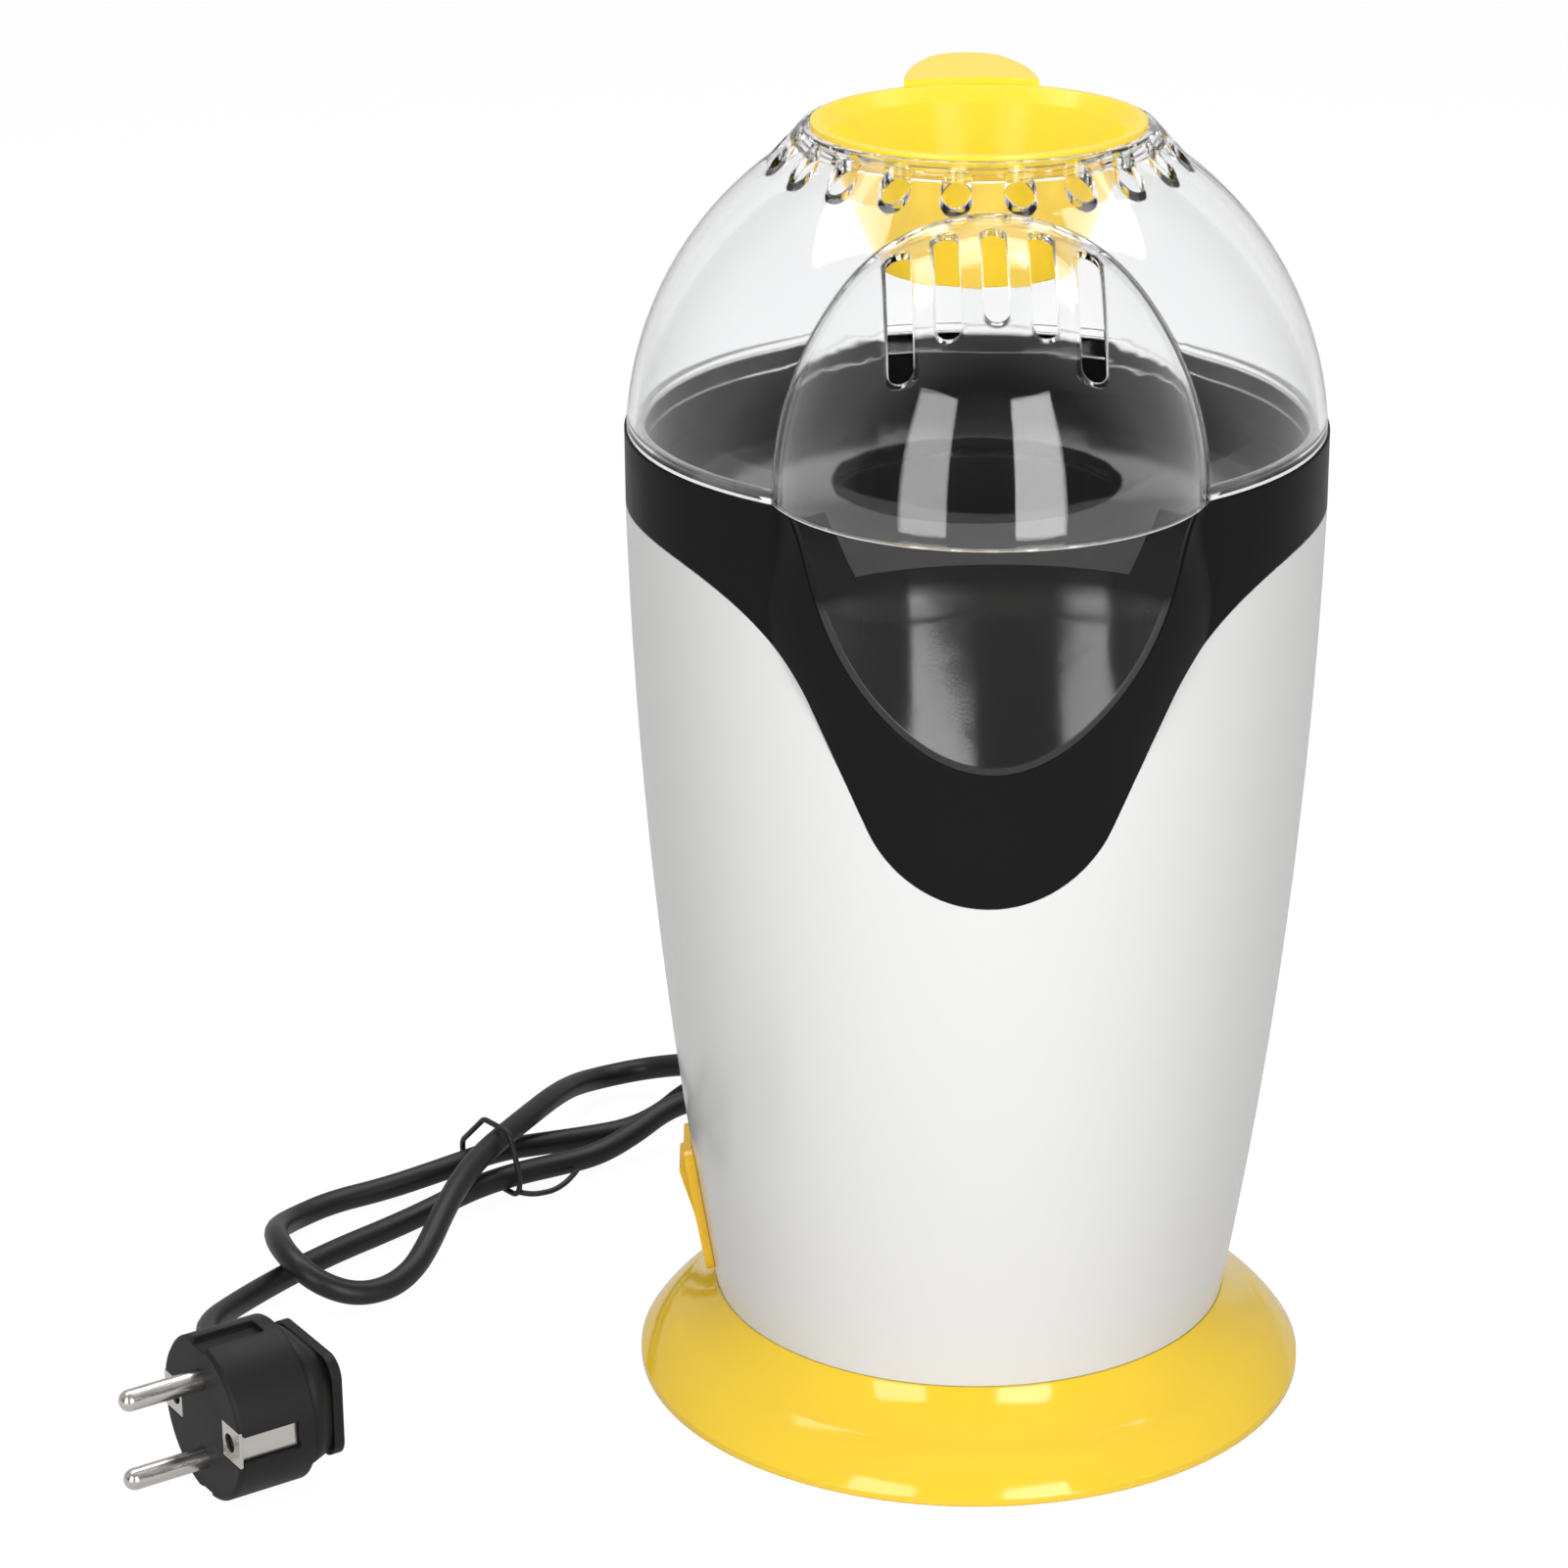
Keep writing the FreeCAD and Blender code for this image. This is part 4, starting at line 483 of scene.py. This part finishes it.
class Wardrobe:
    """Finishes of the machine, each built once."""

    def __init__(self) -> None:
        """Name every finish."""
        self.finishes: dict[str, Moulded | Clear | Metal] = {}
        self.built: dict[str, bpy.types.Material] = {}
        # Painted shade on the deck's front towards the mouth: its reflection is turned down there.
        deck_front_shade = ShadeZone(depth=(0.012, -0.018), height=(0.2035, 0.2065), specular=0.03)
        for finish in (
            Moulded("base_yellow", linear(255, 214, 55), 0.1, edge=0.0006, mottle=0.03, grain=300.0,
                    grain_depth=0.00001, coat=0.12),
            Moulded("switch_yellow", linear(252, 200, 44), 0.2, edge=0.0006, mottle=0.03),
            # The measuring cup gets a painted glow on top of its subsurface light.
            Moulded("cup_yellow", linear(255, 215, 62), 0.2, edge=0.0005, mottle=0.02, glow=0.35, painted_glow=0.25),
            Moulded("barrel_white", linear(227, 227, 226), 0.2, mottle=0.012, grain=260.0,
                    grain_depth=0.00001),
            Moulded("collar_black", linear(30, 30, 31), 0.34, specular=0.03, mottle=0.15, edge=0.0006),
            Moulded("chute_black", linear(38, 38, 39), 0.12, swing=0.02, specular=0.6, mottle=0.2,
                    grain=1500.0, grain_depth=0.000006, edge=0.0006, shade_zone=deck_front_shade),
            # The popping chamber is coloured near-black as painted shade, for the dark inside of the deep
            # chamber.
            Moulded("chamber_black", linear(22, 22, 22), 0.4, mottle=0.3, grain=1200.0),
            Moulded("sheath_black", linear(27, 27, 28), 0.42, specular=0.35, mottle=0.12, grain=700.0),
            Moulded("tie_black", linear(30, 30, 31), 0.4, specular=0.4, mottle=0.1, edge=0.0002),
            Moulded("plug_black", linear(20, 20, 21), 0.52, specular=0.3, mottle=0.15, grain=1800.0,
                    grain_depth=0.00004, edge=0.0007),
            Moulded("duct_grey", linear(62, 62, 64), 0.5),
            Moulded("fan_grey", linear(150, 150, 152), 0.45),
            Moulded("foot_rubber", linear(38, 38, 38), 0.7, mottle=0.2),
            Moulded("mica_sheet", linear(196, 180, 150), 0.5, mottle=0.35, grain=160.0),
            Moulded("board_green", linear(40, 110, 66), 0.4, mottle=0.2),
            Clear("dome_clear", (0.985, 0.988, 0.992)),
            Metal("pin_nickel", (0.74, 0.71, 0.67), 0.2, (1.0, 1.0, 8.0)),
            Metal("plain_steel", (0.60, 0.60, 0.61), 0.34),
            Metal("heater_wire", (0.42, 0.38, 0.36), 0.45, EVEN),
            Metal("stamped_brass", (0.78, 0.60, 0.28), 0.3, EVEN),
        ):
            self.finishes[finish.name] = finish

    def material(self, name: str) -> bpy.types.Material:
        """Give a finish's material, building it at first use.

        Args:
            name: Name of the finish.

        Returns:
            The material.
        """
        if name not in self.built:
            self.built[name] = self.finishes[name].make()
        return self.built[name]

    def dress(self, thing: bpy.types.Object, name: str) -> None:
        """Give an object one finish.

        Args:
            thing: Object that is dressed.
            name: Name of the finish.
        """
        thing.data.materials.clear()
        thing.data.materials.append(self.material(name))


@dataclass
class Casing:
    """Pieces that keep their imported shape.

    Attributes:
        finishes: The finish of each piece.
    """

    finishes: dict[str, str] = field(default_factory=lambda: {
        "base_ring": "base_yellow", "base_plate": "duct_grey", "rubber_feet": "foot_rubber",
        "base_screws": "plain_steel", "body_shell": "barrel_white", "collar": "collar_black",
        "deck_chute": "chute_black", "popping_chamber": "chamber_black", "chamber_seal": "chute_black",
        "heat_shield": "plain_steel", "mica_frame": "mica_sheet", "heater_coil": "heater_wire",
        "fan_housing": "duct_grey", "motor_can": "plain_steel", "motor_end_cap": "duct_grey",
        "motor_terminals": "stamped_brass", "motor_screws": "plain_steel", "rectifier_board": "board_green",
        "motor_shaft": "plain_steel", "fan_impeller": "fan_grey", "fan_cap": "plain_steel",
        "thermostat": "stamped_brass", "thermal_fuse": "pin_nickel", "switch_bezel": "switch_yellow",
        "switch_rocker": "switch_yellow", "switch_terminals": "stamped_brass", "lid": "dome_clear",
        "measuring_cup": "cup_yellow", "cord_gland": "sheath_black", "cord": "sheath_black",
        "cord_tie": "tie_black", "plug_body": "plug_black", "plug_pins": "pin_nickel",
        "plug_earth_clips": "pin_nickel",
    })

    def dress(self, nodes: dict[str, bpy.types.Object], wardrobe: Wardrobe) -> None:
        """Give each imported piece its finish.

        Args:
            nodes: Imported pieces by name.
            wardrobe: The machine's finishes.
        """
        for name, finish in self.finishes.items():
            wardrobe.dress(nodes[name], finish)
            LOG.info("dressed %s in %s", name, finish)


@dataclass
class Lead:
    """Mains lead with its tie, in the tied figure of eight that it lies in.

    Attributes:
        diameter: Thickness of the lead.
        length: Length from the gland to the plug's sleeve; not used.
        route: Points that steer the lead's centreline, from the gland to the sleeve.
        tail_radius: Radius of the tie's loose end.
        tail: Points that steer the tie's loose end.
        around: Steps in each quarter of a tube's round section.
        along: Steps between two points of a tube.
        order: Order of a tube's curve.
    """

    diameter: float = 0.0058
    length: float = 0.7126
    route: tuple[Point, ...] = (
        (0.0, 0.0893785, 0.03), (0.0, 0.1, 0.03), (-0.0025, 0.109, 0.0285), (-0.01, 0.116, 0.025),
        (-0.022, 0.1195, 0.0205), (-0.035, 0.122, 0.017), (-0.047, 0.126, 0.0145),
        (-0.058, 0.132, 0.0125), (-0.068, 0.1385, 0.0095), (-0.0785, 0.1435, 0.006),
        (-0.089, 0.1395, 0.0055), (-0.0955, 0.1285, 0.0085), (-0.1, 0.115, 0.0115),
        (-0.105, 0.1015, 0.013), (-0.1108, 0.0885, 0.0135), (-0.1158, 0.0775, 0.0135),
        (-0.1202, 0.066, 0.0125), (-0.124, 0.053, 0.01), (-0.127, 0.042, 0.0065), (-0.1305, 0.033, 0.004),
        (-0.136, 0.026, 0.003), (-0.1435, 0.0215, 0.004), (-0.1515, 0.021, 0.0075),
        (-0.158, 0.026, 0.0108), (-0.1624, 0.0365, 0.0108), (-0.1643, 0.0505, 0.007),
        (-0.1615, 0.063, 0.0034), (-0.153, 0.073, 0.003), (-0.1405, 0.08, 0.003), (-0.127, 0.087, 0.0046),
        (-0.1135, 0.0975, 0.005), (-0.102, 0.105, 0.0032), (-0.0905, 0.109, 0.003),
        (-0.08, 0.1135, 0.003), (-0.0725, 0.1225, 0.003), (-0.067, 0.134, 0.003), (-0.0585, 0.144, 0.003),
        (-0.0465, 0.15, 0.003), (-0.034, 0.1475, 0.003), (-0.0265, 0.1375, 0.003), (-0.03, 0.1255, 0.003),
        (-0.0415, 0.1195, 0.0034), (-0.054, 0.1195, 0.0065), (-0.064, 0.1175, 0.0094),
        (-0.0715, 0.1115, 0.0092), (-0.079, 0.1035, 0.0065), (-0.088, 0.0965, 0.004),
        (-0.098, 0.0905, 0.0042), (-0.1085, 0.0835, 0.005), (-0.1187, 0.0755, 0.005),
        (-0.1286, 0.0668, 0.0034), (-0.1384, 0.0572, 0.003), (-0.1479, 0.0481, 0.003),
        (-0.157, 0.038, 0.003), (-0.165, 0.027, 0.0032), (-0.171, 0.015, 0.0046),
        (-0.1743, 0.003, 0.0072), (-0.1743, -0.0086, 0.01), (-0.17124, -0.01984, 0.01189),
    )
    tail_radius: float = 0.0007
    tail: tuple[Point, ...] = (
        (-0.1071, 0.0791, 0.0022), (-0.1046, 0.0781, 0.0021), (-0.1018, 0.0787, 0.002),
        (-0.0985, 0.0804, 0.002), (-0.0957, 0.0836, 0.0025), (-0.0939, 0.0872, 0.003),
        (-0.0932, 0.089, 0.0032),
    )
    around: int = 6
    along: int = 8
    order: int = 3

    def build(self, nodes: dict[str, bpy.types.Object], wardrobe: Wardrobe) -> None:
        """Args:
            nodes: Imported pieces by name.
            wardrobe: The machine's finishes.
        """
        lead = self.tube("lead", self.route, self.diameter / 2)
        wardrobe.dress(lead, "sheath_black")
        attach(lead, HOUSING)
        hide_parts("cord")
        tail = self.tube("tie_tail", self.tail, self.tail_radius)
        wardrobe.dress(tail, "tie_black")
        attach(tail, HOUSING)
        on_it = [nodes[name] for name in ("plug_body", "plug_pins", "plug_earth_clips", "cord_tie")]
        on_it += [tail, PlugGrip().build(wardrobe)]
        LOG.info("laid the lead")

    def tube(self, name: str, points: tuple[Point, ...], radius: float) -> bpy.types.Object:
        """Make a round tube along a smooth curve.

        Args:
            name: Name of the object.
            points: Control points in metres.
            radius: Radius of the tube.

        Returns:
            The curve object.
        """
        curve = bpy.data.curves.new(name, "CURVE")
        curve.dimensions = "3D"
        curve.bevel_depth = radius
        curve.bevel_resolution = self.around
        curve.resolution_u = self.along
        curve.use_fill_caps = True
        spline = curve.splines.new("NURBS")
        spline.points.add(len(points) - 1)
        for place, point in zip(spline.points, points):
            place.co = (*point, 1.0)
        spline.order_u = self.order
        spline.use_endpoint_u = True
        thing = bpy.data.objects.new(name, curve)
        bpy.context.scene.collection.objects.link(thing)
        return thing


@dataclass
class PlugGrip:
    """Moulded web that joins the plug's round front to its square finger flange.

    Attributes:
        face: Centre of the plug's front face.
        heading: Bearing of the plug's axis in degrees.
        front: Place along the axis and radius of the round end.
        back: Place along the axis, half width and half height of the square end.
        squareness: Power that turns a circle into a rounded square.
        corners: Points round each end.
    """

    face: Point = (-0.1685, -0.065, 0.019)
    heading: float = 213.0
    front: Span = (-0.0172, 0.0178)
    back: Point = (-0.0249, 0.0134, 0.0116)
    squareness: float = 0.45
    corners: int = 48

    def build(self, wardrobe: Wardrobe) -> bpy.types.Object:
        """Make the web as a loft from a circle to a rounded square.

        Args:
            wardrobe: The machine's finishes.

        Returns:
            The web.
        """
        count = self.corners
        front, radius = self.front
        back, half_width, half_height = self.back
        near, far = [], []
        for number in range(count):
            turn = math.tau * number / count
            across, upward = math.cos(turn), math.sin(turn)
            near.append((front, radius * across, radius * upward))
            far.append((back, half_width * self.squared(across), half_height * self.squared(upward)))
        sides = [(n, (n + 1) % count, count + (n + 1) % count, count + n) for n in range(count)]
        ends = [tuple(range(count - 1, -1, -1)), tuple(range(count, 2 * count))]
        mesh = bpy.data.meshes.new("plug_grip")
        mesh.from_pydata(near + far, [], sides + ends)
        for side in mesh.polygons[:count]:
            side.use_smooth = True
        web = bpy.data.objects.new("plug_grip", mesh)
        web.matrix_world = Matrix.Translation(self.face) @ Matrix.Rotation(math.radians(self.heading), 4, "Z")
        bpy.context.scene.collection.objects.link(web)
        wardrobe.dress(web, "plug_black")
        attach(web, HOUSING)
        return web

    def squared(self, share: float) -> float:
        """Push a share of a circle's radius towards a square's side.

        Args:
            share: Share from -1 to 1.

        Returns:
            The share on the rounded square.
        """
        return math.copysign(abs(share) ** self.squareness, share)


@dataclass(frozen=True)
class Lamp:
    """Soft rectangular lamp.

    Attributes:
        name: Name of the lamp.
        spot: Where it hangs.
        aim: Point that it faces.
        size: Width and height.
        power: Power in watts.
    """

    name: str
    spot: Point
    aim: Point
    size: Span
    power: float

    def hang(self) -> None:
        """Add the lamp to the scene."""
        data = bpy.data.lights.new(self.name, "AREA")
        data.shape = "RECTANGLE"
        data.size, data.size_y = self.size
        data.energy = self.power
        lamp = bpy.data.objects.new(self.name, data)
        lamp.location = self.spot
        lamp.rotation_euler = (Vector(self.aim) - Vector(self.spot)).to_track_quat("-Z", "Y").to_euler()
        bpy.context.scene.collection.objects.link(lamp)


@dataclass
class Studio:
    """Camera, lamps, floor and surroundings.

    Attributes:
        camera_place: Where the camera stands.
        yaw, pitch, roll: Its turn in degrees: to the right, downwards and about its own axis.
        focal_pixels: Focal length in pixels of the photograph.
        sensor: Width of the sensor in millimetres.
        sight: How far the camera sees.
        floor_width: Width of the floor.
        floor_drop: How far the floor lies under the feet.
        floor_grey: Grey of the floor where it takes the lamps' light.
        floor_roughness, floor_specular: Roughness and specular level of the floor.
        floor_share: Share of the even white in what is seen of the floor.
        floor_glow: Strength of that white.
        fill_level: Even light from all sides.
        front_level: Brightness of the room in front, as mirrored and refracted.
        clear_level: Least brightness that is seen through clear plastic.
        gloss_share: Share of the white background that a reflection shows.
        backdrop_way: Direction of the white backdrop's middle.
        backdrop_edge: Closeness to that direction where the backdrop begins and is full.
        strip_size, strip_lift: Size of the strip lamps and their height over the floor.
        strip_bearings, strip_distance: Where they stand round the machine, in degrees and metres.
        strip_powers, strip_aim: Power of each, and the point that they face.
        top_size, top_spot, top_aim, top_power: The pair of top lamps, with the right one's place.
        back_size, back_spot, back_aim, back_power: The lamp behind.
    """

    camera_place: Point = (-0.0483, -0.9221, 0.4893)
    yaw: float = 0.42
    pitch: float = 20.778
    roll: float = -0.406
    focal_pixels: float = 4579.41
    sensor: float = 36.0
    sight: float = 30.0
    floor_width: float = 8.0
    floor_drop: float = 0.0003
    floor_grey: float = 0.46
    floor_roughness: float = 0.7
    floor_specular: float = 0.1
    floor_share: float = 0.78
    floor_glow: float = 1.22
    fill_level: float = 0.12
    front_level: float = 0.05
    clear_level: float = 0.2
    gloss_share: float = 0.42
    backdrop_way: Point = (0.0, 0.88, 0.47)
    backdrop_edge: Span = (-0.3, 0.1)
    strip_size: Span = (0.42, 0.92)
    strip_lift: float = 0.02
    strip_bearings: Span = (-33.5, 22.5)
    strip_distance: float = 1.0
    strip_powers: Span = (5.6, 7.5)
    strip_aim: Point = (0.0, 0.0, 0.46)
    top_size: Span = (0.6, 0.36)
    top_spot: Point = (0.44, 0.25, 1.08)
    top_aim: Point = (0.0, 0.0, 0.22)
    top_power: float = 2.4
    back_size: Span = (1.2, 0.8)
    back_spot: Point = (0.0, 0.85, 1.75)
    back_aim: Point = (0.0, 0.0, 0.15)
    back_power: float = 9.0

    def build(self) -> None:
        """Set up the whole studio."""
        self.camera()
        self.floor()
        self.world()
        for lamp in self.lamps():
            lamp.hang()
        bpy.context.scene.view_settings.view_transform = "Standard"
        LOG.info("set up the studio")

    def lamps(self) -> list[Lamp]:
        """Give the two strips in front, the two lamps on top and the one behind."""
        lamps = []
        height = self.strip_size[1] / 2 + self.strip_lift
        for number, (bearing, power) in enumerate(zip(self.strip_bearings, self.strip_powers)):
            angle = math.radians(bearing)
            spot = (self.strip_distance * math.sin(angle), -self.strip_distance * math.cos(angle), height)
            lamps.append(Lamp(f"strip_{number}", spot, self.strip_aim, self.strip_size, power))
        across, behind, height = self.top_spot
        for side in (-1, 1):
            spot = (side * across, behind, height)
            lamps.append(Lamp(f"top_{side}", spot, self.top_aim, self.top_size, self.top_power))
        lamps.append(Lamp("back", self.back_spot, self.back_aim, self.back_size, self.back_power))
        return lamps

    def camera(self) -> None:
        """Place the camera at the photograph's viewing angle."""
        yaw, pitch, roll = (math.radians(angle) for angle in (self.yaw, self.pitch, self.roll))
        ahead = Vector((math.sin(yaw) * math.cos(pitch), math.cos(yaw) * math.cos(pitch), -math.sin(pitch)))
        level = Vector((math.cos(yaw), -math.sin(yaw), 0.0))
        upright = level.cross(ahead)
        right = level * math.cos(roll) + upright * math.sin(roll)
        upward = upright * math.cos(roll) - level * math.sin(roll)
        data = bpy.data.cameras.new("camera")
        data.sensor_width = self.sensor
        data.lens = self.focal_pixels / PHOTO_PIXELS * self.sensor
        data.clip_end = self.sight
        camera = bpy.data.objects.new("camera", data)
        turn = Matrix((right, upward, -ahead)).transposed().to_4x4()
        camera.matrix_world = Matrix.Translation(self.camera_place) @ turn
        bpy.context.scene.collection.objects.link(camera)
        bpy.context.scene.camera = camera

    def floor(self) -> None:
        """Lay a pale floor that keeps the machine's shadow."""
        half = self.floor_width / 2
        outline = [(-half, -half, 0), (half, -half, 0), (half, half, 0), (-half, half, 0)]
        mesh = bpy.data.meshes.new("floor")
        mesh.from_pydata(outline, [], [(0, 1, 2, 3)])
        floor = bpy.data.objects.new("floor", mesh)
        floor.location.z = -self.floor_drop
        bpy.context.scene.collection.objects.link(floor)
        graph = Graph("floor_white")
        tree = graph.tree
        graph.constant(Base_Color=(self.floor_grey,) * 3, Roughness=self.floor_roughness,
                       Specular_IOR_Level=self.floor_specular)
        shine = tree.nodes.new("ShaderNodeEmission")
        shine.inputs["Color"].default_value = WHITE
        shine.inputs["Strength"].default_value = self.floor_glow
        blend = tree.nodes.new("ShaderNodeMixShader")
        tree.links.new(join(tree, Sum.PRODUCT, self.seen(tree), self.floor_share), blend.inputs[0])
        tree.links.new(graph.shader.outputs["BSDF"], blend.inputs[1])
        tree.links.new(shine.outputs["Emission"], blend.inputs[2])
        tree.links.new(blend.outputs["Shader"], graph.output.inputs["Surface"])
        mesh.materials.append(graph.material)

    def seen(self, tree: Tree) -> Socket:
        """Say how much of the white background a ray meets.

        Args:
            tree: Node tree that the test is added to.

        Returns:
            1 from the camera or through clear plastic, a share for a reflection, and otherwise 0.
        """
        path = tree.nodes.new("ShaderNodeLightPath")
        value = join(tree, Sum.PRODUCT, path.outputs["Is Glossy Ray"], self.gloss_share)
        for name in ("Is Camera Ray", "Is Transmission Ray"):
            value = join(tree, Sum.LARGER, value, path.outputs[name])
        return value

    def world(self) -> None:
        """Surround the machine with a white backdrop, a dark room in front and a low even fill light."""
        world = bpy.data.worlds.new("surroundings")
        world.use_nodes = True
        tree = world.node_tree
        background = tree.nodes["Background"]
        background.inputs["Color"].default_value = WHITE
        toward = tree.nodes.new("ShaderNodeVectorMath")
        toward.operation = "DOT_PRODUCT"
        toward.inputs[1].default_value = self.backdrop_way
        tree.links.new(tree.nodes.new("ShaderNodeTexCoord").outputs["Generated"], toward.inputs[0])
        backdrop = ramp(tree, toward.outputs["Value"], self.backdrop_edge, (self.front_level, 1.0))
        level = tree.nodes.new("ShaderNodeMix")
        level.inputs[MixIn.FIRST_VALUE].default_value = self.fill_level
        tree.links.new(self.seen(tree), level.inputs[MixIn.SHARE])
        tree.links.new(backdrop, level.inputs[MixIn.SECOND_VALUE])
        value = level.outputs[MixOut.VALUE]
        path = tree.nodes.new("ShaderNodeLightPath")
        for name, least in (("Is Camera Ray", 1.0), ("Is Transmission Ray", self.clear_level)):
            value = join(tree, Sum.LARGER, value, join(tree, Sum.PRODUCT, path.outputs[name], least))
        tree.links.new(value, background.inputs["Strength"])
        bpy.context.scene.world = world


def corners(box: tuple[Vector, Vector]) -> list[list[float]]:
    """Give a box as plain lists of numbers.

    Args:
        box: The box's lowest and highest corner.

    Returns:
        Both corners.
    """
    return [[float(value) for value in corner] for corner in box]


def main() -> None:
    """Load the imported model, dress it and light it."""
    logging.basicConfig(level=logging.INFO, format="%(message)s")
    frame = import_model()
    wardrobe = Wardrobe()
    Casing().dress(frame["nodes"], wardrobe)
    Lead().build(frame["nodes"], wardrobe)
    Studio().build()


if __name__ == "__main__":
    main()
